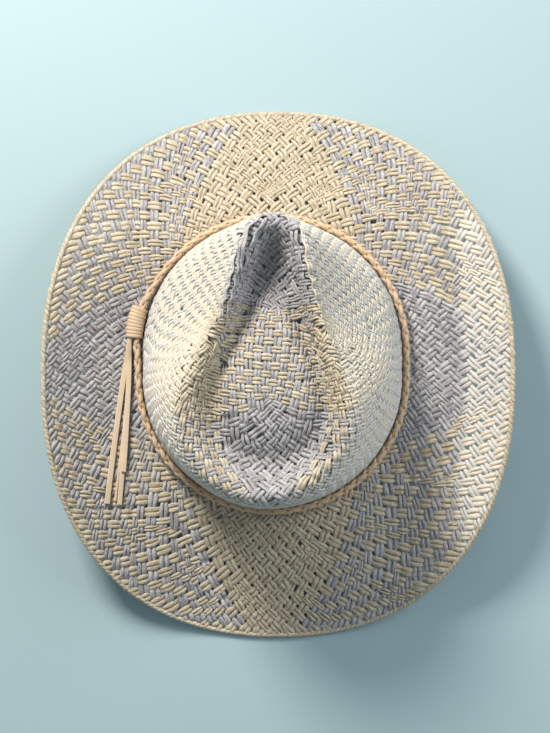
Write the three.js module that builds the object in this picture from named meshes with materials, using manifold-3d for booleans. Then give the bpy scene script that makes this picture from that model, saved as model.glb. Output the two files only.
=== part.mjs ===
// A woven straw rancher hat: a pinched teardrop crown, a wide brim whose sides curl up and whose
// front and back dip down, a whipped roll round the brim's edge, a braided leather band round the
// crown's foot, and a leather tassel bound to the band with a wrapped knot.
// Millimetres, +Z up. +Y is the hat's front, +X its right as seen from above, and the hat stands on
// its brim at z = 0, with the origin under the middle of the brim.
import * as THREE from 'three';
import { mergeVertices } from 'three/addons/utils/BufferGeometryUtils.js';
import Module from 'manifold-3d';

// Driving sizes
const brimLength = 364;
const brimWidth = 317;
const outlinePower = 2.3; // power of the outline's superellipse: 2 is an ellipse
const headWidth = 169.5; // inside the crown at its foot
const headLength = 187.5;
const crownShiftX = -3.5; // the crown's middle from the brim's middle
const crownShiftY = 7.3;
const wallThickness = 3; // two crossing layers of doubled paper yarn
const breakHeight = 24; // the brim's inner end above the table, at the middle of its wall
const breakRadius = 6; // the bend from the crown's wall into the brim
const collarHeight = 7; // the brim's own upstand, where the crown's wall begins
const crownHeight = 108; // from the break to the crest's front
const sideRise = 27; // the brim's side edges above the break
const restHalfWidth = 32; // the level stretch of edge at the front and at the back
const rollDiameter = 4;
const clearance = 0.3; // between pieces that touch on the real hat
const bandDiameter = 5.2;
const bandStandOff = 1.7; // how far the knot holds the band off the crown
const knotLength = 20;
const knotWall = 0.9;
const knotTurn = 0.455; // where the knot sits round the crown, in turns from the right-hand side
const tasselHead = 3.6; // how far the bundle of laces inside the knot reaches outwards
const tasselHeadHeight = 3.6;
const tasselReach = 113; // from the knot to the ends of the longest laces
const tasselSwing = -5.5; // degrees: the laces' heading, away from the wearer's back towards the left
const laceWidth = 3.2;
const laceThickness = 1.6;
const laceStandOff = 0.65; // from the brim's middle face: room for its facets

// Fineness of the faceted walls
const aroundSteps = 64;
const tubeSides = 8;
const laceSteps = 9;

const wallHalf = wallThickness / 2;
const footHalfWidth = headWidth / 2 + wallHalf;
const footHalfLength = headLength / 2 + wallHalf;
const rollRadius = rollDiameter / 2;
const bandRadius = bandDiameter / 2;
const cornerReach = 1 / Math.cos(Math.PI / tubeSides); // a tube's corners, over its flat sides
const frontTurn = 0.25;
const crownMiddle = new THREE.Vector2(crownShiftX, crownShiftY);
const up = new THREE.Vector3(0, 0, 1);

// The crown's sections, from the middle of its top out over the crest and down to its foot.
// Each is a big circle behind and a small one in front, joined by their tangents.
// Radii are shares of the foot's half width and centres shares of its half length, forwards.
// The lean is how far the back circle sits to the right, a share of the foot's half width.
// Heights are shares of the crown's height, at the front, the sides and the back.
// The pinch is how far the front quarters are pressed in, a share of the foot's half width.
const crownSections = [
  { name: 'middle', backRadius: 0, backCentre: 0.03, frontRadius: 0, frontCentre: 0.03, lean: 0, front: 0.855, side: 0.855, back: 0.855, pinch: 0 },
  { name: 'plateau', backRadius: 0.17, backCentre: -0.07, frontRadius: 0.12, frontCentre: 0.17, lean: -0.02, front: 0.835, side: 0.852, back: 0.85, pinch: 0 },
  { name: 'plateau edge', backRadius: 0.33, backCentre: -0.145, frontRadius: 0.115, frontCentre: 0.47, lean: -0.035, front: 0.72, side: 0.815, back: 0.838, pinch: 0 },
  { name: 'groove', backRadius: 0.43, backCentre: -0.325, frontRadius: 0.085, frontCentre: 0.7, lean: -0.04, front: 0.67, side: 0.78, back: 0.735, pinch: 0 },
  { name: 'inner slope', backRadius: 0.485, backCentre: -0.33, frontRadius: 0.105, frontCentre: 0.77, lean: -0.05, front: 0.83, side: 0.85, back: 0.82, pinch: 0 },
  { name: 'crest inside', backRadius: 0.54, backCentre: -0.325, frontRadius: 0.14, frontCentre: 0.785, lean: -0.055, front: 0.965, side: 0.923, back: 0.91, pinch: 0.01 },
  { name: 'crest', backRadius: 0.605, backCentre: -0.32, frontRadius: 0.195, frontCentre: 0.79, lean: -0.06, front: 1, side: 0.945, back: 0.94, pinch: 0.03 },
  { name: 'crest outside', backRadius: 0.665, backCentre: -0.31, frontRadius: 0.25, frontCentre: 0.755, lean: -0.055, front: 0.965, side: 0.905, back: 0.905, pinch: 0.06 },
  { name: 'shoulder', backRadius: 0.75, backCentre: -0.27, frontRadius: 0.35, frontCentre: 0.675, lean: -0.04, front: 0.85, side: 0.785, back: 0.8, pinch: 0.085 },
  { name: 'upper wall', backRadius: 0.84, backCentre: -0.205, frontRadius: 0.53, frontCentre: 0.515, lean: -0.02, front: 0.66, side: 0.61, back: 0.63, pinch: 0.075 },
  { name: 'mid wall', backRadius: 0.92, backCentre: -0.14, frontRadius: 0.74, frontCentre: 0.325, lean: -0.005, front: 0.43, side: 0.4, back: 0.42, pinch: 0.035 },
  { name: 'lower wall', backRadius: 0.975, backCentre: -0.105, frontRadius: 0.93, frontCentre: 0.155, lean: 0, front: 0.2, side: 0.19, back: 0.2, pinch: 0.005 },
  { name: 'foot', backRadius: 1, backCentre: -0.094, frontRadius: 1, frontCentre: 0.094, lean: 0, front: 0, side: 0, back: 0, pinch: 0 },
];
const pinchPlace = 0.165; // of a section's length, from its front
const pinchSpread = 0.075;

// The laces of the tassel. Spread is each end's place across the fan, and drop how much shorter the
// lace is, both as shares of the longest reach. Open is how soon a lace leaves the bundle's line,
// lift is in lace thicknesses above the brim, and width is a share of the lace's own.
const laces = [
  { spread: -0.037, open: 0.9, drop: 0, lift: 0, width: 1.15 },
  { spread: 0.006, open: 0.3, drop: 0.015, lift: 0, width: 0.5 },
  { spread: 0.034, open: 0.15, drop: 0, lift: 0, width: 1.05 },
  { spread: 0.045, open: 0.15, drop: 0.155, lift: 1, width: 1.1 },
];

// The height of a section at an angle from its front, smooth through its three heights.
function sectionHeight(section, angle) {
  const { front, side, back } = section;
  const level = (front + back) / 4 + side / 2;
  const tip = (front - back) / 2;
  const fold = (front + back) / 4 - side / 2;
  return level + tip * Math.cos(angle) + fold * Math.cos(2 * angle);
}

// A point of a crown section in plan, at a share of its length counted anticlockwise from the right.
function sectionPlan(section, turn) {
  const back = section.backRadius * footHalfWidth;
  const front = section.frontRadius * footHalfWidth;
  const backY = section.backCentre * footHalfLength;
  const frontY = section.frontCentre * footHalfLength;
  const reach = frontY - backY;
  if (reach <= 0) return new THREE.Vector2(0, backY);
  const lean = Math.asin((back - front) / reach);
  const frontArc = front * (Math.PI / 2 - lean);
  const straight = reach * Math.cos(lean);
  const backArc = back * (Math.PI / 2 + lean);
  const half = frontArc + straight + backArc;
  const fromFront = ((turn - frontTurn + 1.5) % 1) - 0.5; // positive towards the left
  const along = Math.abs(fromFront) * 2 * half;
  let angle = lean; // of the outline's normal, on its right-hand half
  let x = 0;
  let y = 0;
  if (along < frontArc) {
    angle = Math.PI / 2 - along / Math.max(front, 1e-6);
    x = front * Math.cos(angle);
    y = frontY + front * Math.sin(angle);
  } else if (along < frontArc + straight) {
    const share = (along - frontArc) / straight;
    x = THREE.MathUtils.lerp(front, back, share) * Math.cos(lean);
    y = THREE.MathUtils.lerp(frontY + front * Math.sin(lean), backY + back * Math.sin(lean), share);
  } else {
    angle = lean - (along - frontArc - straight) / Math.max(back, 1e-6);
    x = back * Math.cos(angle);
    y = backY + back * Math.sin(angle);
  }
  const off = (Math.abs(fromFront) - pinchPlace) / pinchSpread;
  const pressed = section.pinch * footHalfWidth * Math.exp(-off * off);
  x -= pressed * Math.cos(angle);
  y -= pressed * Math.sin(angle);
  const leaned = section.lean * footHalfWidth * THREE.MathUtils.smoothstep(frontY - y, 0, reach);
  return new THREE.Vector2((fromFront > 0 ? -x : x) + leaned, y);
}

// A point of a crown section on the middle of the wall.
function sectionPoint(section, turn) {
  const plan = sectionPlan(section, turn).add(crownMiddle);
  const angle = 2 * Math.PI * (turn - frontTurn);
  const wallHeight = crownHeight - collarHeight;
  const height = sectionHeight(section, angle) * wallHeight;
  return new THREE.Vector3(plan.x, plan.y, breakHeight + collarHeight + height);
}

// The brim's outline: a superellipse measured by the share of its length, from a fine table of it.
const outlineTable = (() => {
  const fine = 1440;
  const points = [];
  for (let i = 0; i <= fine; i++) {
    const a = (2 * Math.PI * i) / fine;
    const c = Math.cos(a);
    const s = Math.sin(a);
    const x = Math.sign(c) * Math.abs(c) ** (2 / outlinePower);
    const y = Math.sign(s) * Math.abs(s) ** (2 / outlinePower);
    points.push(new THREE.Vector2(x * (brimWidth / 2 - rollRadius), y * (brimLength / 2 - rollRadius)));
  }
  const lengths = [0];
  for (let i = 1; i <= fine; i++) lengths.push(lengths[i - 1] + points[i].distanceTo(points[i - 1]));
  return { points, lengths };
})();

// The middle of the edge roll, in plan.
function edgePlan(turn) {
  const { points, lengths } = outlineTable;
  const wanted = (((turn % 1) + 1) % 1) * lengths[lengths.length - 1];
  let low = 0;
  let high = lengths.length - 1;
  while (high - low > 1) {
    const mid = (low + high) >> 1;
    if (lengths[mid] <= wanted) low = mid;
    else high = mid;
  }
  const share = (wanted - lengths[low]) / (lengths[high] - lengths[low]);
  return points[low].clone().lerp(points[high], share);
}

// How much of a side a place on the edge is: 0 along the level stretches, 1 at the widest points.
function sideShare(plan) {
  const half = brimWidth / 2 - rollRadius;
  const share = (Math.abs(plan.x) - restHalfWidth) / (half - restHalfWidth);
  return Math.max(0, Math.min(1, share)) ** 1.8;
}

function edgePoint(turn) {
  const plan = edgePlan(turn);
  const height = THREE.MathUtils.lerp(rollRadius, breakHeight + sideRise, sideShare(plan));
  return new THREE.Vector3(plan.x, plan.y, height);
}

// A point on the middle of the brim's wall. Spread runs from 0, where the bend ends, to 1, at the
// middle of the edge roll. The sides stay flat before they curl up; front and back dip evenly.
function brimPoint(turn, spread) {
  const foot = sectionPlan(crownSections[crownSections.length - 1], turn);
  const outward = foot.clone().normalize();
  const start = foot.add(crownMiddle).addScaledVector(outward, breakRadius);
  const edge = edgePoint(turn);
  const plan = start.lerp(new THREE.Vector2(edge.x, edge.y), spread);
  const curl = THREE.MathUtils.lerp(1.15, 2.1, sideShare(edge));
  const height = THREE.MathUtils.lerp(breakHeight, edge.z, spread ** curl);
  return new THREE.Vector3(plan.x, plan.y, height);
}

// A point of the bend between the crown's wall and the brim, at an angle from upright to level.
function bendPoint(turn, angle) {
  const foot = sectionPlan(crownSections[crownSections.length - 1], turn);
  const outward = foot.clone().normalize();
  foot.add(crownMiddle).addScaledVector(outward, breakRadius * (1 - Math.cos(angle)));
  return new THREE.Vector3(foot.x, foot.y, breakHeight + breakRadius * (1 - Math.sin(angle)));
}

const turns = Array.from({ length: aroundSteps }, (_, i) => i / aroundSteps);

// The wall on both sides of a grid of middle points: rings of the outer face, then of the inner one.
function wallRings(rings, levelEnds) {
  const sides = { outer: [], inner: [] };
  rings.forEach((ring, r) => {
    const before = rings[Math.max(0, r - 1)];
    const after = rings[Math.min(rings.length - 1, r + 1)];
    const outer = [];
    const inner = [];
    ring.forEach((point, i) => {
      const next = ring[(i + 1) % ring.length];
      const last = ring[(i + ring.length - 1) % ring.length];
      const across = after[i].clone().sub(before[i]);
      const normal = across.cross(next.clone().sub(last));
      if (levelEnds.includes(r)) normal.z = 0;
      normal.normalize();
      outer.push(point.clone().addScaledVector(normal, wallHalf));
      inner.push(point.clone().addScaledVector(normal, -wallHalf));
    });
    sides.outer.push(outer);
    sides.inner.push(inner);
  });
  return sides;
}

// A closed solid from rings of equal count. Its ends meet in the poles given, or in each other.
function solidFromRings(rings, poles) {
  const positions = [];
  const index = [];
  const count = rings[0].length;
  rings.forEach((ring) => ring.forEach((p) => positions.push(p.x, p.y, p.z)));
  const join = (a, b) => {
    for (let i = 0; i < count; i++) {
      const j = (i + 1) % count;
      index.push(a + i, b + i, b + j, a + i, b + j, a + j);
    }
  };
  for (let r = 0; r + 1 < rings.length; r++) join(r * count, (r + 1) * count);
  const lastRing = (rings.length - 1) * count;
  if (poles) {
    const first = positions.length / 3;
    positions.push(poles[0].x, poles[0].y, poles[0].z, poles[1].x, poles[1].y, poles[1].z);
    for (let i = 0; i < count; i++) {
      const j = (i + 1) % count;
      index.push(first, i, j, first + 1, lastRing + j, lastRing + i);
    }
  } else {
    join(lastRing, 0);
  }
  const geometry = new THREE.BufferGeometry();
  geometry.setAttribute('position', new THREE.Float32BufferAttribute(positions, 3));
  geometry.setIndex(index);
  geometry.computeVertexNormals();
  return geometry;
}

// Crown: meridians are splines through the sections, cut level above the brim's collar.
function crownGeometry() {
  const stations = [];
  const spans = crownSections.length - 1;
  for (let s = 0; s < spans; s++) {
    stations.push(s);
    if (s > 1 && s < spans - 2) stations.push(s + 0.5);
  }
  stations.push(spans);
  const columns = turns.map((turn) => {
    const points = crownSections.map((section) => sectionPoint(section, turn));
    const meridian = new THREE.CatmullRomCurve3(points, false, 'centripetal');
    return stations.map((station) => meridian.getPoint(station / spans));
  });
  const rings = stations.map((_, r) => columns.map((column) => column[r]));
  rings[rings.length - 1].forEach((point) => (point.z += clearance));
  const pole = rings.shift()[0];
  const walls = wallRings(rings, [rings.length - 1]);
  const poles = [pole.clone().addScaledVector(up, wallHalf), pole.clone().addScaledVector(up, -wallHalf)];
  return solidFromRings([...walls.outer, ...walls.inner.reverse()], poles);
}

// Brim: a short collar, the bend, and the sheet out to the edge roll.
function brimGeometry() {
  const rows = [(turn) => bendPoint(turn, 0).setZ(breakHeight + collarHeight)];
  for (const angle of [0.35, 0.9]) rows.push((turn) => bendPoint(turn, angle));
  for (const spread of [0, 0.16, 0.34, 0.52, 0.7, 0.86]) rows.push((turn) => brimPoint(turn, spread));
  rows.push((turn) => {
    const edge = brimPoint(turn, 1);
    const inside = brimPoint(turn, 0.95);
    const toCrown = inside.sub(edge).normalize();
    return edge.addScaledVector(toCrown, rollRadius * cornerReach + clearance);
  });
  const rings = rows.map((row) => turns.map(row));
  const walls = wallRings(rings, [0]);
  return solidFromRings([...walls.outer, ...walls.inner.reverse()]);
}

// A closed round tube along a level or nearly level loop, with a flat side underneath.
function loopGeometry(path, radius) {
  const corner = radius * cornerReach;
  const points = turns.map(path);
  const rings = Array.from({ length: tubeSides }, (_, side) => {
    const angle = (-2 * Math.PI * (side + 0.5)) / tubeSides;
    return points.map((point, i) => {
      const next = points[(i + 1) % points.length];
      const last = points[(i + points.length - 1) % points.length];
      const along = next.clone().sub(last).normalize();
      const outward = along.clone().cross(up).normalize();
      const lift = outward.clone().cross(along);
      const place = point.clone().addScaledVector(outward, corner * Math.cos(angle));
      return place.addScaledVector(lift, corner * Math.sin(angle));
    });
  });
  return solidFromRings(rings);
}

// The middle of the band: in the bend's hollow, against the crown, and held off it at the knot.
const bandOffset = wallHalf + 1.5 * clearance + bandRadius;
const bandHeight = breakHeight + breakRadius + 1.2;
const bandCorner = bandRadius * cornerReach;
const knotSpread = 0.035; // turns over which the band bows out to the knot and back

function bandPoint(turn) {
  const foot = sectionPlan(crownSections[crownSections.length - 1], turn);
  const outward = foot.clone().normalize();
  const off = (turn - knotTurn) / knotSpread;
  const bowed = bandOffset + bandStandOff * Math.exp(-off * off);
  foot.add(crownMiddle).addScaledVector(outward, bowed);
  return new THREE.Vector3(foot.x, foot.y, bandHeight);
}

// The band's place and directions at the knot, at a distance along it towards the hat's back.
const bandLoop = Math.PI * (footHalfWidth + footHalfLength + 2 * bandOffset); // close to its length
function knotFrame(distance) {
  const turn = knotTurn + distance / bandLoop;
  const step = 0.002;
  const origin = bandPoint(turn);
  const along = bandPoint(turn + step).sub(bandPoint(turn - step)).normalize();
  const outward = along.clone().cross(up).normalize();
  return { origin, along, outward };
}

// A rounded section, longer outwards than upwards: round over the band, squarer over the laces.
function knotSection(frame, swell) {
  const radius = bandCorner + 1.5 * clearance + swell;
  const reach = tasselHead + clearance;
  const steps = 20;
  return Array.from({ length: steps }, (_, i) => {
    const angle = (2 * Math.PI * (i + 0.5)) / steps;
    const c = Math.cos(angle);
    const s = Math.sin(angle);
    const shift = c > 0 ? reach : 0;
    const power = c > 0 ? 2 / 3.2 : 1;
    const outward = shift + radius * Math.sign(c) * Math.abs(c) ** power;
    const upward = radius * Math.sign(s) * Math.abs(s) ** power;
    return frame.origin.clone().addScaledVector(frame.outward, outward).addScaledVector(up, upward);
  });
}

// Knot: a barrel of wound lace, open at both ends, whose wall is a little fuller in its middle.
function knotGeometry() {
  const rings = [];
  const stations = [-0.5, -0.42, 0, 0.42, 0.5];
  const walls = [0.55, 1, 1.15, 1, 0.55];
  stations.forEach((s, i) => rings.push(knotSection(knotFrame(s * knotLength), walls[i] * knotWall)));
  [...stations].reverse().forEach((s) => rings.push(knotSection(knotFrame(s * knotLength), 0)));
  return solidFromRings(rings);
}

// The brim's place over a point of its plan, found by stepping towards it.
function brimOver(plan) {
  let turn = Math.atan2(plan.y - crownShiftY, plan.x - crownShiftX) / (2 * Math.PI);
  let spread = 0.4;
  const step = 1e-4;
  for (let tries = 0; tries < 12; tries++) {
    const at = brimPoint(turn, spread);
    const byTurn = brimPoint(turn + step, spread).sub(at).divideScalar(step);
    const bySpread = brimPoint(turn, spread + step).sub(at).divideScalar(step);
    const dx = plan.x - at.x;
    const dy = plan.y - at.y;
    const det = byTurn.x * bySpread.y - byTurn.y * bySpread.x;
    turn += (dx * bySpread.y - dy * bySpread.x) / det;
    spread = Math.max(0, Math.min(1, spread + (byTurn.x * dy - byTurn.y * dx) / det));
  }
  const at = brimPoint(turn, spread);
  const byTurn = brimPoint(turn + step, spread).sub(at);
  const bySpread = brimPoint(turn, Math.min(1, spread + step)).sub(brimPoint(turn, Math.max(0, spread - step)));
  return { point: at, normal: bySpread.cross(byTurn).normalize() };
}

// One lace: a flat strip from inside the knot, down onto the brim and along it. It leaves the knot
// along the band and bends to the tassel's own heading.
const bundleOffset = bandCorner + clearance + tasselHead / 2;

function laceGeometry(lace, index) {
  const layer = (index / (laces.length - 1) - 0.5) * (tasselHeadHeight - laceThickness);
  const bundled = (share) => {
    const frame = knotFrame(knotLength * share);
    return frame.origin.addScaledVector(frame.outward, bundleOffset).addScaledVector(up, layer);
  };
  const mouth = knotFrame(knotLength * 0.5);
  const heading = new THREE.Vector2(0, -1);
  heading.rotateAround(new THREE.Vector2(), THREE.MathUtils.degToRad(tasselSwing));
  const aside = new THREE.Vector2(-heading.y, heading.x);
  const start = mouth.origin.clone().addScaledVector(mouth.outward, bundleOffset);
  const from = new THREE.Vector2(start.x, start.y);
  const fan = lace.spread * tasselReach;
  const end = from.clone().addScaledVector(heading, tasselReach).addScaledVector(aside, fan);
  const bend = from.clone().addScaledVector(new THREE.Vector2(mouth.along.x, mouth.along.y), tasselReach / 3);
  bend.addScaledVector(aside, fan * lace.open);
  const path = new THREE.QuadraticBezierCurve(from, bend, end);
  const width = laceWidth * lace.width;
  const narrow = Math.min(1, (tasselHead - 2 * clearance) / width);
  const stations = [0.1, 0.3].map((share) => ({ point: bundled(share), lift: up, narrow }));
  for (let i = 0; i <= laceSteps; i++) {
    const share = i / laceSteps;
    const plan = path.getPoint(share * (1 - lace.drop));
    const ground = brimOver(plan);
    const seat = wallHalf + laceStandOff + laceThickness * (0.5 + lace.lift);
    const seated = ground.point.z + seat / ground.normal.z;
    const settle = THREE.MathUtils.smoothstep(share, 0, 0.25);
    const height = Math.max(seated, THREE.MathUtils.lerp(start.z + layer, seated, settle));
    const point = new THREE.Vector3(plan.x, plan.y, height);
    const lift = up.clone().lerp(ground.normal, settle).normalize();
    stations.push({ point, lift, narrow: THREE.MathUtils.lerp(narrow, 1, Math.min(1, share * 4)) });
  }
  const sections = stations.map((station, i) => {
    const next = stations[Math.min(stations.length - 1, i + 1)].point;
    const last = stations[Math.max(0, i - 1)].point;
    const along = next.clone().sub(last).normalize();
    const side = along.clone().cross(station.lift).normalize();
    const top = side.clone().cross(along);
    const half = (width / 2) * station.narrow;
    const corners = [[1, 1], [-1, 1], [-1, -1], [1, -1]];
    return corners.map(([a, b]) => {
      const corner = station.point.clone().addScaledVector(side, a * half);
      return corner.addScaledVector(top, (b * laceThickness) / 2);
    });
  });
  const poles = [stations[0].point, stations[stations.length - 1].point];
  return solidFromRings(sections, poles);
}

// The bundle inside the knot that holds the laces together.
function tasselHeadGeometry() {
  const frame = knotFrame(0);
  const block = new THREE.BoxGeometry(knotLength * 0.35, tasselHead - clearance, tasselHeadHeight);
  const middle = frame.origin.clone().addScaledVector(frame.outward, bundleOffset);
  block.applyMatrix4(new THREE.Matrix4().makeBasis(frame.along, frame.outward.clone().negate(), up));
  block.translate(middle.x, middle.y, middle.z);
  return block;
}

const wasm = await Module();
wasm.setup();

function toSolid(geometry) {
  const bare = geometry.clone();
  bare.deleteAttribute('normal');
  bare.deleteAttribute('uv');
  const merged = mergeVertices(bare, 1e-4);
  const vertProperties = merged.attributes.position.array;
  return new wasm.Manifold(new wasm.Mesh({ numProp: 3, vertProperties, triVerts: new Uint32Array(merged.index.array) }));
}

function fromSolid(solid) {
  const mesh = solid.getMesh();
  const geometry = new THREE.BufferGeometry();
  geometry.setAttribute('position', new THREE.BufferAttribute(mesh.vertProperties, 3));
  geometry.setIndex(new THREE.BufferAttribute(mesh.triVerts, 1));
  geometry.computeVertexNormals();
  return geometry;
}

// Tassel: the laces fused to their bundle.
function tasselGeometry() {
  let solid = toSolid(tasselHeadGeometry());
  laces.forEach((lace, i) => {
    solid = solid.add(toSolid(laceGeometry(lace, i)));
  });
  return fromSolid(solid);
}

const strawMaterial = new THREE.MeshStandardMaterial({ color: 0xcfc8b8, roughness: 0.85, metalness: 0 });
const edgeMaterial = new THREE.MeshStandardMaterial({ color: 0xd8d2c2, roughness: 0.85, metalness: 0 });
const leatherMaterial = new THREE.MeshStandardMaterial({ color: 0xd9b58c, roughness: 0.6, metalness: 0 });

function piece(name, geometry, material) {
  const mesh = new THREE.Mesh(geometry, material);
  mesh.name = name;
  return mesh;
}

const hat = new THREE.Group();
hat.add(piece('crown', crownGeometry(), strawMaterial));
hat.add(piece('brim', brimGeometry(), strawMaterial));
hat.add(piece('edge_roll', loopGeometry(edgePoint, rollRadius), edgeMaterial));
hat.add(piece('braided_band', loopGeometry(bandPoint, bandRadius), leatherMaterial));
hat.add(piece('band_knot', knotGeometry(), leatherMaterial));
hat.add(piece('tassel', tasselGeometry(), leatherMaterial));

export default hat;
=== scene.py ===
# %% [markdown]
# # A woven straw rancher hat
#
# The hat lies on a pale table and is seen from straight above. Its crown and brim are one open
# weave of doubled paper yarns, cream and lavender grey, with a braided leather band round the
# crown's foot. The solid model gives the hat's sizes and its collision. This file adds what the
# eye sees: every yarn of the weave, the whipped edge, the braid, the knot and the tassel.

import math

import bpy
import numpy as np
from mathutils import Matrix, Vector
from mathutils.bvhtree import BVHTree


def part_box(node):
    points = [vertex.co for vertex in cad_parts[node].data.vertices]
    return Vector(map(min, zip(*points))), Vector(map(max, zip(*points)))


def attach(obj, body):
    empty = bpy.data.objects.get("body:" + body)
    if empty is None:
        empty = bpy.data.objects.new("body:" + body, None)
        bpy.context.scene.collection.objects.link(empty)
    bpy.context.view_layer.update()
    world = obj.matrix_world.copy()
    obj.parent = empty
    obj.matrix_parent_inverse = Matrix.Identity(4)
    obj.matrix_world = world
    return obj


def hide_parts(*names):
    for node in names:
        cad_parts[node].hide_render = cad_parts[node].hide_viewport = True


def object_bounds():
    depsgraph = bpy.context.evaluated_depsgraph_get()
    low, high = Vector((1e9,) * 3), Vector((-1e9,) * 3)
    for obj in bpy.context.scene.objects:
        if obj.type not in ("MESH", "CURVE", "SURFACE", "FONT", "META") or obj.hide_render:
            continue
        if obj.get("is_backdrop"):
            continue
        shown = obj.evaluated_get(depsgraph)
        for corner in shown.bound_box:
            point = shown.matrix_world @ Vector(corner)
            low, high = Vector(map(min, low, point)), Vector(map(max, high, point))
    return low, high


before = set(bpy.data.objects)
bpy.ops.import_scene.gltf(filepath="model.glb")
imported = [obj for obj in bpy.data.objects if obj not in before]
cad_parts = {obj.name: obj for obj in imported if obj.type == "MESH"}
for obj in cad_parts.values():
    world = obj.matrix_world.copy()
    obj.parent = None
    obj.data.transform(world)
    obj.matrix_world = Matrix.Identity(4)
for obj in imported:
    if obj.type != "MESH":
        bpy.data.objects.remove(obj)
cad_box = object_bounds()

MM = 0.001  # every length below is in millimetres until a mesh is made
rng = np.random.default_rng(17)

(roll_low, roll_high) = (np.array(corner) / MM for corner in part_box("edge_roll"))
(band_low, band_high) = (np.array(corner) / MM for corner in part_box("braided_band"))
print("brim", np.round(roll_high - roll_low), "mm, band", np.round(band_high - band_low), "mm")

# %% [markdown]
# ## The sheet that the yarns follow
#
# A weave has to know the surface it lies in. It could be read off the solid's facets, but yarns
# would then show every facet's corner. Instead the middle of the wall is drawn again from the
# hat's own sizes: rings of the crown, each a big circle behind and a small one in front, and
# rings of the brim out to its edge. A place on the sheet is a ring and a turn round it.

# %% Sizes of the sheet
ROLL = 4.0  # thickness of the edge roll
BRIM_HALF = (roll_high - roll_low)[:2] / 2 - ROLL / 2
OUTLINE_POWER = 2.3
BAND_OFF = 4.55  # the band's middle from the middle of the wall
BAND_HEIGHT = 31.2
BAND_LENGTH = 598.7  # round its middle line
BREAK = 24.0  # height of the brim's inner end
BEND = 6.0  # radius of the bend from wall to brim
COLLAR = 7.0  # how far the crown's foot stands over the brim's inner end
CROWN = 108.0  # height of the crown over the brim's inner end
SIDE_RISE = 27.0  # how much higher the brim's sides end
REST_HALF = 32.0  # level stretch of the edge, front and back
MIDDLE = (band_low + band_high)[:2] / 2 + np.array([0.25, 0.0])
FOOT = np.array([86.25, 95.25])  # half width and half length of the crown's foot

# Ring by ring from the crest outwards and inwards, as shares of the foot: back radius, back centre,
# front radius, front centre, lean, heights at front, side and back, and the pinch.
RINGS = np.array([
    [0.000, 0.030, 0.000, 0.030, 0.000, 0.855, 0.855, 0.855, 0.000],  # middle
    [0.170, -0.070, 0.120, 0.170, -0.020, 0.835, 0.852, 0.850, 0.000],  # plateau
    [0.330, -0.145, 0.115, 0.470, -0.035, 0.720, 0.815, 0.838, 0.000],  # plateau edge
    [0.430, -0.325, 0.085, 0.700, -0.040, 0.670, 0.780, 0.735, 0.000],  # groove
    [0.485, -0.330, 0.105, 0.770, -0.050, 0.830, 0.850, 0.820, 0.000],  # inner slope
    [0.540, -0.325, 0.140, 0.785, -0.055, 0.965, 0.923, 0.910, 0.010],  # crest inside
    [0.605, -0.320, 0.195, 0.790, -0.060, 1.000, 0.945, 0.940, 0.030],  # crest
    [0.665, -0.310, 0.250, 0.755, -0.055, 0.965, 0.905, 0.905, 0.060],  # crest outside
    [0.750, -0.270, 0.350, 0.675, -0.040, 0.850, 0.785, 0.800, 0.085],  # shoulder
    [0.840, -0.205, 0.530, 0.515, -0.020, 0.660, 0.610, 0.630, 0.075],  # upper wall
    [0.920, -0.140, 0.740, 0.325, -0.005, 0.430, 0.400, 0.420, 0.035],  # mid wall
    [0.975, -0.105, 0.930, 0.155, 0.000, 0.200, 0.190, 0.200, 0.005],  # lower wall
    [1.000, -0.094, 1.000, 0.094, 0.000, 0.000, 0.000, 0.000, 0.000],  # foot
])
CREST = 6
AROUND = 256
TURNS = np.arange(AROUND) / AROUND  # anticlockwise from the hat's right, with the front at 0.25


def smoothstep(x, low, high):
    t = np.clip((x - low) / (high - low), 0, 1)
    return t * t * (3 - 2 * t)


def lengths_along(points):
    """How far each point of a course lies from its start."""
    return np.concatenate([[0], np.cumsum(np.linalg.norm(np.diff(points, axis=0), axis=1))])


def raised(plan, heights):
    """Points of a plan at their heights."""
    return np.concatenate([plan, heights[:, None]], axis=1)


# %% A ring of the crown
def ring_plan(ring, turn):
    """Points of one ring in plan, at shares of its length, from the crown's middle."""
    back, back_y, front, front_y, lean = ring[:5] * np.array([FOOT[0], FOOT[1]] * 2 + [FOOT[0]])
    reach = front_y - back_y
    if reach <= 0:
        return np.stack([np.zeros_like(turn), np.full_like(turn, back_y)], axis=-1)
    tilt = math.asin((back - front) / reach)
    front_arc = front * (math.pi / 2 - tilt)
    straight = reach * math.cos(tilt)
    half = front_arc + straight + back * (math.pi / 2 + tilt)
    from_front = (turn + 0.25) % 1 - 0.5
    along = np.abs(from_front) * 2 * half
    share = np.clip((along - front_arc) / straight, 0, 1)
    radius = front + (back - front) * share
    angle = tilt + np.clip(front_arc - along, 0, None) / front
    angle = angle - np.clip(along - front_arc - straight, 0, None) / back
    off = (np.abs(from_front) - 0.165) / 0.075
    pressed = ring[8] * FOOT[0] * np.exp(-off * off)
    x = (radius - pressed) * np.cos(angle)
    y = front_y - reach * share + (radius - pressed) * np.sin(angle)
    side = np.where(from_front > 0, -1.0, 1.0)
    return np.stack([side * x + lean * smoothstep(front_y - y, 0, reach), y], axis=-1)


def ring_points(ring):
    """One ring of the crown on the middle of its wall."""
    plan = ring_plan(ring, TURNS) + MIDDLE
    front, side, back = ring[5:8]
    angle = 2 * math.pi * (TURNS - 0.25)
    height = (front + back) / 4 + side / 2 + (front - back) / 2 * np.cos(angle)
    height = height + ((front + back) / 4 - side / 2) * np.cos(2 * angle)
    height = BREAK + COLLAR + height * (CROWN - COLLAR)
    return raised(plan, height)


crown_rings = np.array([ring_points(ring) for ring in RINGS])
crest_height = crown_rings[CREST][:, 2]
print("crest", np.round(crest_height.min()), "to", np.round(crest_height.max()), "mm up")


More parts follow.
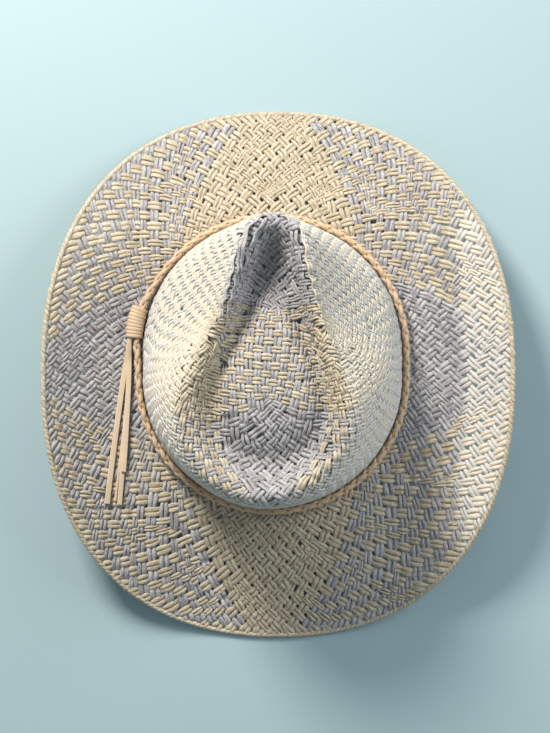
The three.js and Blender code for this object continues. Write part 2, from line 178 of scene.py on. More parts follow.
# %% Between the rings
def crown_level(station):
    """Points of the crown between two rings, by the same spline that the solid uses."""
    i = min(int(station), len(crown_rings) - 2)
    share = station - i
    p1, p2 = crown_rings[i], crown_rings[i + 1]
    p0 = crown_rings[i - 1] if i > 0 else 2 * p1 - p2
    p3 = crown_rings[i + 2] if i + 2 < len(crown_rings) else 2 * p2 - p1
    pairs = ((p0, p1), (p1, p2), (p2, p3))
    d0, d1, d2 = (np.linalg.norm(b - a, axis=1, keepdims=True) ** 0.5 for a, b in pairs)
    m1 = ((p1 - p0) / d0 - (p2 - p0) / (d0 + d1) + (p2 - p1) / d1) * d1
    m2 = ((p2 - p1) / d1 - (p3 - p1) / (d1 + d2) + (p3 - p2) / d2) * d1
    s, s2, s3 = share, share**2, share**3
    return ((2 * s3 - 3 * s2 + 1) * p1 + (s3 - 2 * s2 + s) * m1
            + (3 * s2 - 2 * s3) * p2 + (s3 - s2) * m2)


def outline_points():
    """The brim's outline, a squarish oval, at equal steps of its length."""
    angle = np.linspace(0, 2 * math.pi, 2881)
    circle = np.stack([np.cos(angle), np.sin(angle)], 1)
    fine = np.sign(circle) * np.abs(circle) ** (2 / OUTLINE_POWER) * BRIM_HALF
    length = lengths_along(fine)
    wanted = TURNS * length[-1]
    return np.stack([np.interp(wanted, length, fine[:, k]) for k in range(2)], axis=1)


edge_plan = outline_points()
side_reach = (np.abs(edge_plan[:, 0]) - REST_HALF) / (BRIM_HALF[0] - REST_HALF)
side_share = np.clip(side_reach, 0, 1) ** 1.8
edge_height = ROLL / 2 + (BREAK + SIDE_RISE - ROLL / 2) * side_share
foot_plan = ring_plan(RINGS[-1], TURNS)
foot_out = foot_plan / np.linalg.norm(foot_plan, axis=1, keepdims=True)
FLAT_CURL, SIDE_CURL = 1.15, 2.1  # how late the brim turns up, front and back and at the sides


def brim_level(spread):
    """Points of the brim from the bend, at 0, to the middle of the edge roll, at 1."""
    start = foot_plan + MIDDLE + foot_out * BEND
    plan = start + (edge_plan - start) * spread
    curl = FLAT_CURL + (SIDE_CURL - FLAT_CURL) * side_share
    height = BREAK + (edge_height - BREAK) * spread**curl
    return raised(plan, height)


def bend_level(angle):
    """Points of the bend between the wall, at 0, and the level brim."""
    plan = foot_plan + MIDDLE + foot_out * BEND * (1 - math.cos(angle))
    return raised(plan, np.full(AROUND, BREAK + BEND * (1 - math.sin(angle))))


# %% The hollow top as heights over a plan
def sheet_tree(levels):
    """A tree of triangles between rings, to drop points onto."""
    count = len(levels)
    points = np.concatenate(levels)
    faces = []
    for r in range(count - 1):
        for i in range(AROUND):
            j = (i + 1) % AROUND
            a, b = r * AROUND, (r + 1) * AROUND
            faces.append((a + i, b + i, b + j))
            faces.append((a + i, b + j, a + j))
    return BVHTree.FromPolygons([Vector(p) for p in points], faces)


top_tree = sheet_tree([crown_level(s) for s in np.linspace(0, CREST + 0.6, 67)])


def drop(plan):
    """Heights of the crown's top over points of the plan."""
    heights = []
    for x, y in plan:
        hit = top_tree.ray_cast(Vector((x, y, 400.0)), Vector((0, 0, -1)))
        heights.append(hit[0].z if hit[0] is not None else crown_rings[CREST][:, 2].mean())
    return np.array(heights)


# %% [markdown]
# ## How such a hat is woven
#
# Weavers start on top with a flat grid, cream yarns across and grey ones along, in a square that
# stands on its corner. From its sides every strand runs on outwards at 45 degrees, half of them
# turning to the left and half to the right, always over one and under one. As the hat grows, new
# strands are laid in, two at a time, so that the over and under never breaks. That alone makes
# the photo's pattern: where grey crosses grey, where cream crosses cream, and where they mix.
# So the strands are grown here in the same way, and no colour is painted where it should be.

# %% Levels from the square outwards
PITCH = 6.15  # from one doubled strand to the next, on top of the crown
BRIM_PITCH = 6.0
LINES = 6  # strands each way from the square's middle
SQUARE = (LINES + 0.5) * PITCH
SQUARE_MIDDLE = MIDDLE + np.array([-1.0, 3.0])


def square_plan():
    """The square's outline from its right-hand corner, with corners a little rounded."""
    corners = SQUARE * np.array([[1, 0], [0, 1], [-1, 0], [0, -1], [1, 0]])
    side = TURNS * 4
    k = side.astype(int)
    sharp = corners[k] + (corners[k + 1] - corners[k]) * (side - k)[:, None]
    reach = np.minimum(np.arange(AROUND), AROUND - np.arange(AROUND))
    kernel = np.exp(-0.5 * (reach / 3.5) ** 2)
    spectrum = np.fft.rfft(kernel / kernel.sum())[:, None]
    return np.fft.irfft(np.fft.rfft(sharp, axis=0) * spectrum, n=AROUND, axis=0) + SQUARE_MIDDLE


inner, levels = square_plan(), []
crest_plan = crown_rings[CREST][:, :2]
TOP_LEVELS = 25  # from the square to the crest
for share in np.linspace(0, 1, TOP_LEVELS + 1)[:-1]:
    plan = inner + (crest_plan - inner) * share
    levels.append(raised(plan, drop(plan)))
levels += [crown_level(s) for s in np.linspace(CREST, len(RINGS) - 1, 55)]
CROWN_LEVELS = len(levels)


SOFT_LEVELS = TOP_LEVELS + 3
SOFT_ROUNDS = 45


def soften_top(points):
    """Rounds the top between square and crest, least at the back, where the hollow is deep."""
    inwards = 1 - smoothstep(np.arange(1, SOFT_LEVELS + 1), 19, SOFT_LEVELS)
    forwards = 0.12 + 0.88 * smoothstep(np.sin(2 * math.pi * TURNS), -0.8, 0.0)
    weight = inwards[:, None, None] * 0.8 * forwards[:, None]
    for _ in range(SOFT_ROUNDS):
        patch = points[1:SOFT_LEVELS + 1]
        near = points[:SOFT_LEVELS] + points[2:SOFT_LEVELS + 2]
        near = (near + np.roll(patch, 1, 1) + np.roll(patch, -1, 1)) / 4
        points[1:SOFT_LEVELS + 1] = patch + (near - patch) * weight
    return points


def even_rows(points):
    """The same sheet with its levels at even steps down every line, as rows of a weave are."""
    steps = np.linalg.norm(np.diff(points, axis=0), axis=2)
    arcs = np.concatenate([np.zeros((1, AROUND)), np.cumsum(steps, axis=0)])
    share = np.linspace(0, 1, len(points))
    even = np.empty_like(points)
    for m in range(AROUND):
        for axis in range(3):
            even[:, m, axis] = np.interp(share * arcs[-1, m], arcs[:, m], points[:, m, axis])
    return even


crown_sheet = even_rows(soften_top(np.array(levels)))
brim_sheet = [bend_level(a) for a in np.linspace(0, math.pi / 2, 6)[:-1]]
brim_sheet += [brim_level(s) for s in np.linspace(0, 1, 42)]
sheet = np.concatenate([crown_sheet, np.array(brim_sheet)])


def sheet_normals(points):
    """Outward normals of the sheet at every point of every level."""
    across = np.gradient(points, axis=0)
    along = np.roll(points, -1, axis=1) - np.roll(points, 1, axis=1)
    normal = np.cross(across, along)
    return normal / np.linalg.norm(normal, axis=2, keepdims=True)


normals = sheet_normals(sheet)
spacing = np.linalg.norm(np.diff(sheet, axis=0), axis=2)
print(len(sheet), "levels, mean step", round(float(spacing.mean()), 2),
      "longest", round(float(spacing.max()), 2), "mm")


# %% Strands grow level by level
def around(table, turn):
    """Values of a ring's table at any turns, straight between its samples."""
    place = (turn % 1) * AROUND
    i = place.astype(int) % AROUND
    share = place - np.floor(place)
    if table.ndim > 1:
        share = share[:, None]
    return table[i] * (1 - share) + table[(i + 1) % AROUND] * share


def start_strands(family):
    """Strands of one family where they leave the square: turn, parity, colour and line."""
    rows = []
    side = 4 * SQUARE / PITCH
    for quarter in range(4):
        for line in range(LINES):
            near, far = line + 0.5, LINES - line
            # In each quarter one family runs on from the square's rows, the other from its columns.
            distance = far if family == "left" else near
            turn = (quarter * SQUARE / PITCH + distance) / side
            is_row = (quarter % 2 == 1) == (family == "left")
            positive = quarter in (0, 1) if is_row else quarter in (0, 3)
            index = line if positive else -1 - line
            shift = {"left": (1, 1, 0, 0), "right": (0, 1, 1, 0)}[family][quarter]
            rows.append({"turn": turn, "parity": (index + shift) % 2, "cream": is_row,
                         "sector": quarter, "line": ("row" if is_row else "column", index)})
    return sorted(rows, key=lambda row: row["turn"])


def keep_sectors(turn, strands, swept):
    """Small turns that bring the borders between the four colours back to even quarters."""
    sector = np.array([strand["sector"] for strand in strands])
    ends = np.nonzero(sector != np.roll(sector, -1))[0]
    border = (turn[ends] + np.append(turn, turn[0] + 1)[ends + 1]) / 2
    wanted = (sector[ends] + 1) / 4 + swept
    error = wanted - border
    error = error - np.round(error)
    order = np.argsort(border % 1)
    place, error = (border % 1)[order], error[order]
    place = np.concatenate([place[-1:] - 1, place, place[:1] + 1])
    return np.interp(turn % 1, place, np.concatenate([error[-1:], error, error[:1]]))


SLANT = 1.24  # how far a strand turns aside for each step out: 1 is 45 degrees
EVENING = 0.16  # how strongly neighbours push each other to even gaps
GUIDE = 0.055  # how strongly the four colour sectors are kept to quarters
OPEN_LIMIT = 5.6  # a new pair is laid in where five gaps are as wide as this many
CROWDING = 1.08
LAST_NEW = 12  # levels from the edge where no strand is laid in any more


def grow(family):
    """Marches a family outwards and lays in a new pair wherever it has grown too open."""
    turning = 1 if family == "left" else -1
    strands = start_strands(family)
    swept = 0.0
    for strand in strands:
        strand["from"], strand["turns"], strand["pitch"] = 0, [strand["turn"]], [PITCH]
    for k in range(len(sheet) - 1):
        here, step = sheet[k], sheet[k + 1] - sheet[k]
        chord = np.roll(here, -1, axis=0) - np.roll(here, 1, axis=0)
        length = np.linalg.norm(chord, axis=1)
        tangent = chord / length[:, None]
        drift = (step * tangent).sum(axis=1)
        rise = np.linalg.norm(step - tangent * drift[:, None], axis=1)
        per_turn = length * AROUND / 2
        slant = SLANT * (1 if k < CROWN_LEVELS else 0.7)
        swept += turning * slant * float((rise / per_turn).mean())
        turn = np.array([strand["turns"][-1] for strand in strands])
        aside = turning * slant * around(rise, turn) - around(drift, turn)
        turn = turn + aside / around(per_turn, turn)

        # Neighbours push each other towards even gaps.
        gap = np.append(turn[1:], turn[0] + 1) - turn
        width = gap * around(per_turn, turn + gap / 2)
        pull = 0.5 * (width - np.roll(width, 1)) * EVENING
        turn = turn + pull / around(per_turn, turn)
        turn = turn + GUIDE * keep_sectors(turn, strands, swept)
        for strand, value in zip(strands, turn):
            strand["turns"].append(value)

        # A new pair goes where five gaps have grown too wide, if the ring has room for it.
        pitch = PITCH + (BRIM_PITCH - PITCH) * smoothstep(k, CROWN_LEVELS - 25, CROWN_LEVELS + 15)
        room = per_turn.mean() / (math.sqrt(2) * pitch) * CROWDING
        while True:
            turn = np.array([strand["turns"][-1] for strand in strands])
            gap = np.append(turn[1:], turn[0] + 1) - turn
            width = gap * around(per_turn, turn + gap / 2) / math.sqrt(2)
            window = sum(np.roll(width, shift) for shift in range(-2, 3)) / pitch
            i = int(np.argmax(window))
            if window[i] < OPEN_LIMIT or len(strands) + 2 > room or k > len(sheet) - LAST_NEW:
                break
            pair = []
            for share, flip in ((1 / 3, 1), (2 / 3, 0)):
                new = {"parity": (strands[i]["parity"] + flip) % 2, "cream": strands[i]["cream"],
                       "sector": strands[i]["sector"], "line": None, "from": k + 1,
                       "turns": [turn[i] + gap[i] * share], "pitch": []}
                pair.append(new)
            strands[i + 1:i + 1] = pair
        for strand, before, after in zip(strands, np.roll(width, 1), width):
            strand["pitch"].append((before + after) / 2)
    return strands


families = {family: grow(family) for family in ("left", "right")}
print({family: len(strands) for family, strands in families.items()}, "strands reach the edge")

# %% Where strands of the two families cross
def table_of(strands):
    """Turns of all strands by level, empty where a strand isn't laid in yet."""
    table = np.full((len(strands), len(sheet)), np.nan)
    for row, strand in zip(table, strands):
        row[strand["from"]:] = strand["turns"]
    return table


def find_crossings():
    """Adds to every strand its crossings: the level, +1 over or -1 under, and a number."""
    tables = {family: table_of(strands) for family, strands in families.items()}
    count = 0
    for strands in families.values():
        for strand in strands:
            strand["crossings"] = []
    for k in range(len(sheet) - 1):
        left_turn, right_turn = (tables[family][:, k:k + 2] for family in ("left", "right"))
        ahead = left_turn[:, None] - right_turn[None]
        before, after = ahead[..., 0], ahead[..., 1]
        passed = np.floor(after) > np.floor(before)
        for a, b in zip(*np.nonzero(passed)):
            share = (math.ceil(before[a, b]) - before[a, b]) / (after[a, b] - before[a, b])
            left, right = families["left"][a], families["right"][b]
            over = 1 if (left["parity"] + right["parity"]) % 2 == 0 else -1
            left["crossings"].append((k + share, over, count))
            right["crossings"].append((k + share, -over, count))
            count += 1


find_crossings()
print(sum(len(s["crossings"]) for s in families["left"]), "crossings outside the square")


# %% A strand's course over the sheet
def course(strand):
    """Points and normals of a strand, one per level from where it is laid in, and its room."""
    turn = np.array(strand["turns"])
    first = strand["from"]
    points = np.array([around(sheet[first + k], turn[k:k + 1])[0] for k in range(len(turn))])
    facing = np.array([around(normals[first + k], turn[k:k + 1])[0] for k in range(len(turn))])
    return points, facing, np.array(strand["pitch"])


def line_course(kind, index):
    """The straight stretch of a strand inside the square, with its crossings."""
    place = (index + 0.5) * PITCH
    inside = LINES - (index if index >= 0 else -1 - index)
    steps = np.arange(-(inside - 0.5), inside - 0.5 + 0.01, 0.5) * PITCH
    plan = np.stack([steps, np.full_like(steps, place)], 1)
    if kind == "column":
        plan = plan[:, ::-1]
    plan = plan + SQUARE_MIDDLE
    height = drop(plan)
    slope_x = (drop(plan + [1, 0]) - drop(plan - [1, 0])) / 2
    slope_y = (drop(plan + [0, 1]) - drop(plan - [0, 1])) / 2
    facing = np.stack([-slope_x, -slope_y, np.ones_like(height)], 1)
    other = np.round(steps[::2] / PITCH - 0.5).astype(int)
    over = np.where((index + other) % 2 == 0, 1, -1) * (1 if kind == "row" else -1)
    names = [(index, int(o)) if kind == "row" else (int(o), index) for o in other]
    return raised(plan, height), facing, list(zip(over, names))


def joined(first, kind, index, last):
    """One whole strand: out at one end, through the square and out at the other."""
    a, a_facing, a_room = course(first)
    b, b_facing, b_room = course(last)
    middle, middle_facing, over = line_course(kind, index)
    count = len(a)
    points = np.concatenate([a[::-1], middle, b])
    facing = np.concatenate([a_facing[::-1], middle_facing, b_facing])
    room = np.concatenate([a_room[::-1], np.full(len(middle), PITCH), b_room])
    level = np.concatenate([np.arange(count)[::-1], np.full(len(middle), -1), np.arange(count)])
    crossings = [(count - 1 - k, sign, name) for k, sign, name in first["crossings"]]
    crossings += [(count + 2 * i, sign, name) for i, (sign, name) in enumerate(over)]
    crossings += [(count + len(middle) + k, sign, name) for k, sign, name in last["crossings"]]
    return points, facing, room, level, sorted(crossings, key=lambda crossing: crossing[0])


def whole_strands():
    """Every strand of the hat as points, normals, room, levels, crossings and its colour."""
    found = []
    ends = {}
    for strands in families.values():
        for strand in strands:
            if strand["line"]:
                ends.setdefault(strand["line"], []).append(strand)
                continue
            points, facing, room = course(strand)
            level = np.arange(len(points)) + strand["from"]
            crossings = sorted(strand["crossings"])
            crossings = [(k - strand["from"], sign, name) for k, sign, name in crossings]
            found.append((points, facing, room, level, crossings, strand["cream"]))
    for (kind, index), pair in ends.items():
        middle, _, _ = line_course(kind, index)
        near = [np.linalg.norm(course(strand)[0][0] - middle[0]) for strand in pair]
        first, last = (pair[0], pair[1]) if near[0] < near[1] else (pair[1], pair[0])
        found.append((*joined(first, kind, index, last), kind == "row"))
    return found


strands = whole_strands()
print(len(strands), "whole strands")


# %% Smooth courses
def unit(vectors):
    return vectors / np.maximum(np.linalg.norm(vectors, axis=-1, keepdims=True), 1e-9)


def smooth(values, times):
    for _ in range(times):
        inner = (values[:-2] + 2 * values[1:-1] + values[2:]) / 4
        values = np.concatenate([values[:1], inner, values[-1:]])
    return values


def along_index(values, wanted):
    """Rows of a table at fractional places."""
    index = np.arange(len(values))
    return np.stack([np.interp(wanted, index, column) for column in values.T], 1)


def at(arcs, values, wanted):
    """Values along a course at wanted lengths, on smooth cubics."""
    slope = np.gradient(values, arcs, axis=0)
    i = np.clip(np.searchsorted(arcs, wanted) - 1, 0, len(arcs) - 2)
    width = arcs[i + 1] - arcs[i]
    t = (wanted - arcs[i]) / width
    if values.ndim > 1:
        t, width = t[:, None], width[:, None]
    return ((2 * t**3 - 3 * t**2 + 1) * values[i] + (t**3 - 2 * t**2 + t) * width * slope[i]
            + (3 * t**2 - 2 * t**3) * values[i + 1] + (t**3 - t**2) * width * slope[i + 1])


# %% The crossings as a net
# A wet straw crown is pulled even on its block. Here every crossing moves towards the middle of
# its four neighbours, and is set back on the sheet after each few rounds.
numbers = {}
for strand in strands:
    for _, _, name in strand[4]:
        numbers.setdefault(name, len(numbers))
threads = [np.array([numbers[name] for _, _, name in strand[4]], dtype=int) for strand in strands]
spots = [np.array([k for k, _, _ in strand[4]], dtype=float) for strand in strands]
net = np.zeros((len(numbers), 3))
net_level = np.zeros(len(numbers))
for strand, thread, spot in zip(strands, threads, spots):
    np.add.at(net, thread, along_index(strand[0], spot) / 2)
    np.add.at(net_level, thread, np.interp(spot, np.arange(len(strand[3])), strand[3]) / 2)

inside = []
for share in np.linspace(0.03, 1, 12)[:-1]:
    plan = SQUARE_MIDDLE + (inner - SQUARE_MIDDLE) * share
    inside.append(raised(plan, drop(plan)))
whole_sheet = np.concatenate([np.array(inside), sheet[:CROWN_LEVELS + 4]])
whole_normals = sheet_normals(whole_sheet)
net_tree = sheet_tree(list(whole_sheet))


def settle(points):
    """The nearest places on the sheet, and its normals there."""
    places, facing = np.empty_like(points), np.empty_like(points)
    for row, point in enumerate(points):
        place, _, face, _ = net_tree.find_nearest(Vector(point))
        r, i = face // (2 * AROUND), face % (2 * AROUND) // 2
        places[row] = place
        facing[row] = whole_normals[r:r + 2, (i, (i + 1) % AROUND)].sum(axis=(0, 1))
    return places, facing


def bent(pull, normal):
    """A pull laid down into the sheet at its full length, so that none is lost over a ridge."""
    flat = pull - (pull * normal).sum(-1, keepdims=True) * normal
    return unit(flat) * np.linalg.norm(pull, axis=-1, keepdims=True)


NET_ROUNDS = 240
FREE_LEVELS = (34, 60)  # crossings are free above the first and fixed below the second
free = 1 - smoothstep(net_level, *FREE_LEVELS)
loose = np.nonzero(free > 0.001)[0]
net_facing = np.tile([0.0, 0.0, 1.0], (len(net), 1))
for step_count in range(NET_ROUNDS):
    if step_count % 3 == 0:
        net[loose], net_facing[loose] = settle(net[loose])
        net_facing = unit(net_facing)
    goal, pulls = np.zeros_like(net), np.zeros(len(net))
    for thread in threads:
        here, facing = net[thread[1:-1]], net_facing[thread[1:-1]]
        pull = (bent(net[thread[:-2]] - here, facing) + bent(net[thread[2:]] - here, facing)) / 2
        np.add.at(goal, thread[1:-1], pull)
        np.add.at(pulls, thread[1:-1], 1)
    net += goal / np.maximum(pulls, 1)[:, None] * (0.5 * free)[:, None]
print(len(net), "crossings,", len(loose), "of them pulled even")

# %% Room at every crossing
JITTER = 0.2
net += rng.normal(0, JITTER, net.shape) * [1, 1, 0.3]
slots = np.zeros(len(net), dtype=int)
heading = np.zeros((len(net), 2, 3))
reach = np.full((len(net), 2, 2, 3), np.nan)
strand_slots = []
for thread in threads:
    slot = np.zeros(len(thread), dtype=int)
    for place, number in enumerate(thread):
        slot[place], slots[number] = slots[number], slots[number] + 1
    strand_slots.append(slot)
    if len(thread) > 1:
        heading[thread, slot] = unit(np.gradient(net[thread], axis=0))
        reach[thread[1:], slot[1:], 0] = net[thread[:-1]] - net[thread[1:]]
        reach[thread[:-1], slot[:-1], 1] = net[thread[1:]] - net[thread[:-1]]
# A strand's room is how far its two neighbours lie to its sides, along the strand it crosses.
aside_reach, ahead = reach[:, ::-1], heading[:, :, None]
square_on = aside_reach - (aside_reach * ahead).sum(-1, keepdims=True) * ahead
side_room = np.linalg.norm(square_on, axis=-1)
sides_known = (~np.isnan(side_room)).sum(-1)
mean_room = np.nansum(side_room, -1) / np.maximum(sides_known, 1)
room_at = np.where(sides_known == 0, PITCH, mean_room)
room_low, room_high = np.percentile(room_at, (2, 98))
print("room from", round(float(room_low), 1), "to", round(float(room_high), 1), "mm")

# %% Strands follow the net
for number, (thread, spot, slot) in enumerate(zip(threads, spots, strand_slots)):
    points, facing, room, level, crossings, cream = strands[number]
    if len(thread) < 2:
        continue
    index = np.arange(len(points))
    moved = net[thread] - along_index(points, spot)
    shift = np.stack([np.interp(index, spot, moved[:, axis]) for axis in range(3)], 1)
    points = points + shift
    top = (level < FREE_LEVELS[1] + 2) & (np.linalg.norm(shift, axis=1) > 0.02)
    if top.any():
        points[top], facing[top] = settle(points[top])
    room = np.interp(index, spot, room_at[thread, slot])
    strands[number] = (points, unit(facing), room, level, crossings, cream)
print("moved", len(strands), "strands onto the net")


# %% Tubes
class Bundle:
    """Collects tubes and makes one mesh of them, with their lengths unrolled as UVs."""

    def __init__(self, sides):
        self.sides, self.count = sides, 0
        self.points, self.faces, self.caps = [], [], []
        self.around_uv, self.tones, self.painted_lights = [], [], []

    def add(self, rings, lengths, tone, closed=False, sun=0.0):
        """A tube through rings of points; its ends are capped unless it closes on itself."""
        n, sides = len(rings), self.sides
        spans = n if closed else n - 1
        r, s = np.meshgrid(np.arange(spans), np.arange(sides), indexing="ij")
        r2, s2 = (r + 1) % n, (s + 1) % sides
        corners = np.stack([r * sides + s, r * sides + s2, r2 * sides + s2, r2 * sides + s], -1)
        self.faces.append(corners.reshape(-1, 4) + self.count)
        if closed:
            lengths = np.append(lengths, lengths[-1] * 2 - lengths[-2])
        end = lengths[r + 1]
        v, v2 = s / sides, (s + 1) / sides
        uv = np.stack([np.stack([lengths[r], v], -1), np.stack([lengths[r], v2], -1),
                       np.stack([end, v2], -1), np.stack([end, v], -1)], 2)
        self.around_uv.append(uv.reshape(-1, 4, 2))
        self.tones.append(np.full(n * sides, tone))
        self.painted_lights.append(np.repeat(np.broadcast_to(sun, n), sides))
        if not closed:
            self.caps.append(np.arange(sides)[::-1] + self.count)
            self.caps.append(np.arange(sides) + self.count + (n - 1) * sides)
        self.points.append(rings.reshape(-1, 3))
        self.count += n * sides

    def piece(self, name, perimeter):
        """The finished object, in metres, with a map of yarns for looks and one for baking."""
        quads = np.concatenate(self.faces)
        sides = self.sides
        mesh = bpy.data.meshes.new(name)
        points = np.concatenate(self.points) * MM
        mesh.from_pydata(points, [], quads.tolist() + [cap.tolist() for cap in self.caps])
        uv = np.concatenate(self.around_uv).reshape(-1, 2)
        cap_uv = np.zeros((len(self.caps) * sides, 2))
        yarn = mesh.uv_layers.new(name="Yarn")
        yarn.data.foreach_set("uv", np.concatenate([uv * [0.01, 1], cap_uv]).ravel())

        # For baking, the unrolled strips lie in rows of one square.
        quad_uv = uv.reshape(-1, 4, 2)
        span = (quad_uv[:, 2, 0] - quad_uv[:, 0, 0]).reshape(-1, sides)[:, 0]
        row = perimeter * 1.25
        side = math.sqrt(span.sum() * row) * 1.01 + 2 * row
        start = np.concatenate([[0], np.cumsum(span)])[:-1]
        line = np.floor(start / (side - 3)).astype(int)
        left = start - line * (side - 3)
        low = np.repeat(left, sides)[:, None]
        high = low + np.repeat(span, sides)[:, None]
        v = quad_uv[:, :, 1] * perimeter + np.repeat(line, sides)[:, None] * row
        u = np.concatenate([low, low, high, high], axis=1)
        spread = max(side, v.max() + row)
        bake = np.stack([u, v], -1).reshape(-1, 2) / spread
        caps = np.arange(len(self.caps))
        corner = np.stack([np.cos(np.arange(sides)), np.sin(np.arange(sides))], 1)
        cap_uv = np.array([0.5, 1 - row / spread / 2]) + corner * 0.1 * row / spread
        cap_uv = np.repeat(cap_uv[None], len(caps), 0).reshape(-1, 2)
        baked = mesh.uv_layers.new(name="OFBake")
        baked.data.foreach_set("uv", np.concatenate([bake, cap_uv]).ravel())
        for label, values in (("tone", self.tones), ("sun", self.painted_lights)):
            attribute = mesh.attributes.new(label, "FLOAT", "POINT")
            attribute.data.foreach_set("value", np.concatenate(values))
        mesh.validate()
        mesh.polygons.foreach_set("use_smooth", np.ones(len(mesh.polygons), dtype=bool))
        made = bpy.data.objects.new(name, mesh)
        bpy.context.collection.objects.link(made)
        triangles = len(quads) * 2 + len(self.caps) * (sides - 2)
        print(name, triangles, "triangles,", round(float(span.sum()) / 1000, 1), "m of yarn")
        return made


# %% [markdown]
# ## Every strand is two paper yarns
#
# The straw is no grass: it is paper twisted into a round yarn, laid two by two. Each yarn is a
# six-sided tube, a little wider than thick, that rises over one crossing and dives under the next.
# Its small wobble, its own width and its own tone come from a seeded list of random numbers.

# %% Yarns
YARN_SHARE = 0.236  # half of a yarn's width, as a share of the room from strand to strand
ROOM = (4.3, 7.8)  # the least and the most that a strand fills
YARN_THICK = 0.72  # half of its thickness
LIFT = 0.74  # how far a strand stands off the sheet at a crossing
SIDES = 6
FOOT_LEVEL = CROWN_LEVELS - 1
LAST_LEVEL = len(sheet) - 1

crest_angle = np.unwrap(np.arctan2(crest_plan[:, 1] - MIDDLE[1], crest_plan[:, 0] - MIDDLE[0]))
crest_reach = np.linalg.norm(crest_plan - MIDDLE, axis=1)


def painted_light_places(points):
    """1 where the straw is painted paler as if washed out by strong light, on the crown's wall all
    round and on the brim's right side, which faces the light, else 0.
    """
    off = points[:, :2] - MIDDLE
    angle = (np.arctan2(off[:, 1], off[:, 0]) - crest_angle[0]) % (2 * math.pi) + crest_angle[0]
    past = np.linalg.norm(off, axis=1) - np.interp(angle, crest_angle, crest_reach)
    # The left brim faces away from the light and gets no painted light.
    left_brim = smoothstep(past, 42, 56) * (1 - smoothstep(points[:, 0], -20, 60))
    return smoothstep(past, -1, 7) * smoothstep(points[:, 2], 30, 34) * (1 - left_brim)


def strand_yarns(points, facing, room, level, crossings, bundles):
    """Lays the two yarns of a strand into the bundles of the crown and of the brim."""
    points = smooth(points, 3)
    facing = unit(smooth(facing, 2))
    room = np.clip(smooth(room, 6), ROOM[0], ROOM[1])
    arcs = lengths_along(points)
    index = np.arange(len(points))
    knots = [(float(np.interp(k, index, arcs)), sign) for k, sign, _ in crossings]
    laid_in = level[0] != LAST_LEVEL
    if laid_in:
        # A new strand starts tucked under the first strand that it dives below.
        while knots and knots[0][1] > 0:
            knots.pop(0)
        if len(knots) < 3:
            return
        start = max(knots[0][0] - 2.4, 0)
        knots.insert(0, (start, -1.15))
    else:
        knots.insert(0, (0.0, 0.0))
    knots.append((arcs[-1], 0.0))
    stops = [knots[0][0]]
    for (a, _), (b, _) in zip(knots[:-1], knots[1:]):
        parts = max(1, round((b - a) / 1.62))
        stops += [a + (b - a) * j / parts for j in range(1, parts + 1)]
    stops = np.array(stops)
    stops = stops[np.concatenate([[True], np.diff(stops) > 0.25])]
    level_there = np.interp(stops, arcs, level)

    # The tubes part where crown and brim do, and both parts end at the very same ring.
    parting = np.nonzero(np.diff(np.sign(level_there - FOOT_LEVEL - 0.01)))[0]
    for i in parting[::-1]:
        share = (FOOT_LEVEL - level_there[i]) / (level_there[i + 1] - level_there[i])
        cut = stops[i] + (stops[i + 1] - stops[i]) * share
        stops = np.insert(stops, i + 1, cut)
        level_there = np.insert(level_there, i + 1, FOOT_LEVEL)
    place = np.array([k[0] for k in knots])
    sign = np.array([k[1] for k in knots])
    i = np.clip(np.searchsorted(place, stops) - 1, 0, len(place) - 2)
    t = np.clip((stops - place[i]) / (place[i + 1] - place[i]), 0, 1)
    wave = sign[i] + (sign[i + 1] - sign[i]) * (1 - np.cos(math.pi * t)) / 2
    wave = np.clip(wave * 1.2, -1.05, 1.05)

    middle = at(arcs, points, stops)
    normal = unit(at(arcs, facing, stops))
    tangent = unit(np.gradient(middle, axis=0))
    across = unit(np.cross(normal, tangent))
    normal = np.cross(tangent, across)
    half = YARN_SHARE * at(arcs, room, stops)
    near_edge = smoothstep(level_there, LAST_LEVEL - 7, LAST_LEVEL - 2)
    angle = 2 * math.pi * np.arange(SIDES) / SIDES
    # Where the straw gets painted light: paler and more even, as if washed out by strong light.
    sun = painted_light_places(middle)
    for side in (-1, 1):
        phase = rng.uniform(0, 2 * math.pi, 3)
        wobble = 0.18 * np.sin(stops / 2.9 + phase[0]) + 0.15 * np.sin(stops / 7.1 + phase[1])
        swell = 0.9 + 0.05 * np.sin(stops / 9.7 + phase[2]) + 0.13 * np.clip(wave, 0, 1)
        width = half * (swell + 0.1 * near_edge) * rng.uniform(0.9, 1.06) * (1 - 0.07 * sun)
        lift = LIFT * wave + 0.06 * np.sin(stops / 3.1 + phase[1])
        centre = middle + normal * lift[:, None] + across * (side * width * 0.96 + wobble)[:, None]
        rings = (centre[:, None]
                 + across[:, None] * (width[:, None] * np.cos(angle))[:, :, None] * 0.97
                 + normal[:, None] * (YARN_THICK * 1.18 * np.sin(angle))[None, :, None])
        tone = rng.uniform(0, 1)
        borders = [0, *np.nonzero(level_there == FOOT_LEVEL)[0].tolist(), len(stops) - 1]
        for a, b in zip(borders[:-1], borders[1:]):
            if b > a:
                furthest = level_there[a:b + 1].max() if b - a == 1 else level_there[(a + b) // 2]
                part = "brim" if furthest > FOOT_LEVEL else "crown"
                span = slice(a, b + 1)
                bundle = bundles[(part, (side + 1) // 2)]
                bundle.add(rings[span], stops[span], tone, sun=sun[span])


weave = {}
for *strand, cream in strands:
    for part in ("crown", "brim"):
        for side in (0, 1):
            weave.setdefault((part, cream, side), Bundle(SIDES))
    strand_yarns(*strand, {key[::2]: b for key, b in weave.items() if key[1] == cream})

# %% Pieces of the weave, by part, colour and yarn of the pair
YARN_WIDE = 1.45  # half of a common yarn's width
perimeter = 2 * math.pi * math.sqrt((YARN_WIDE**2 + YARN_THICK**2) / 2)
woven = {}
for (part, cream, side), bundle in weave.items():
    colour = "cream" if cream else "grey"
    piece = bundle.piece(f"{part}_{colour}_straw_{'left' if side == 0 else 'right'}", perimeter)
    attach(piece, "root")
    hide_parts(part)
    woven.setdefault((part, cream), []).append(piece)

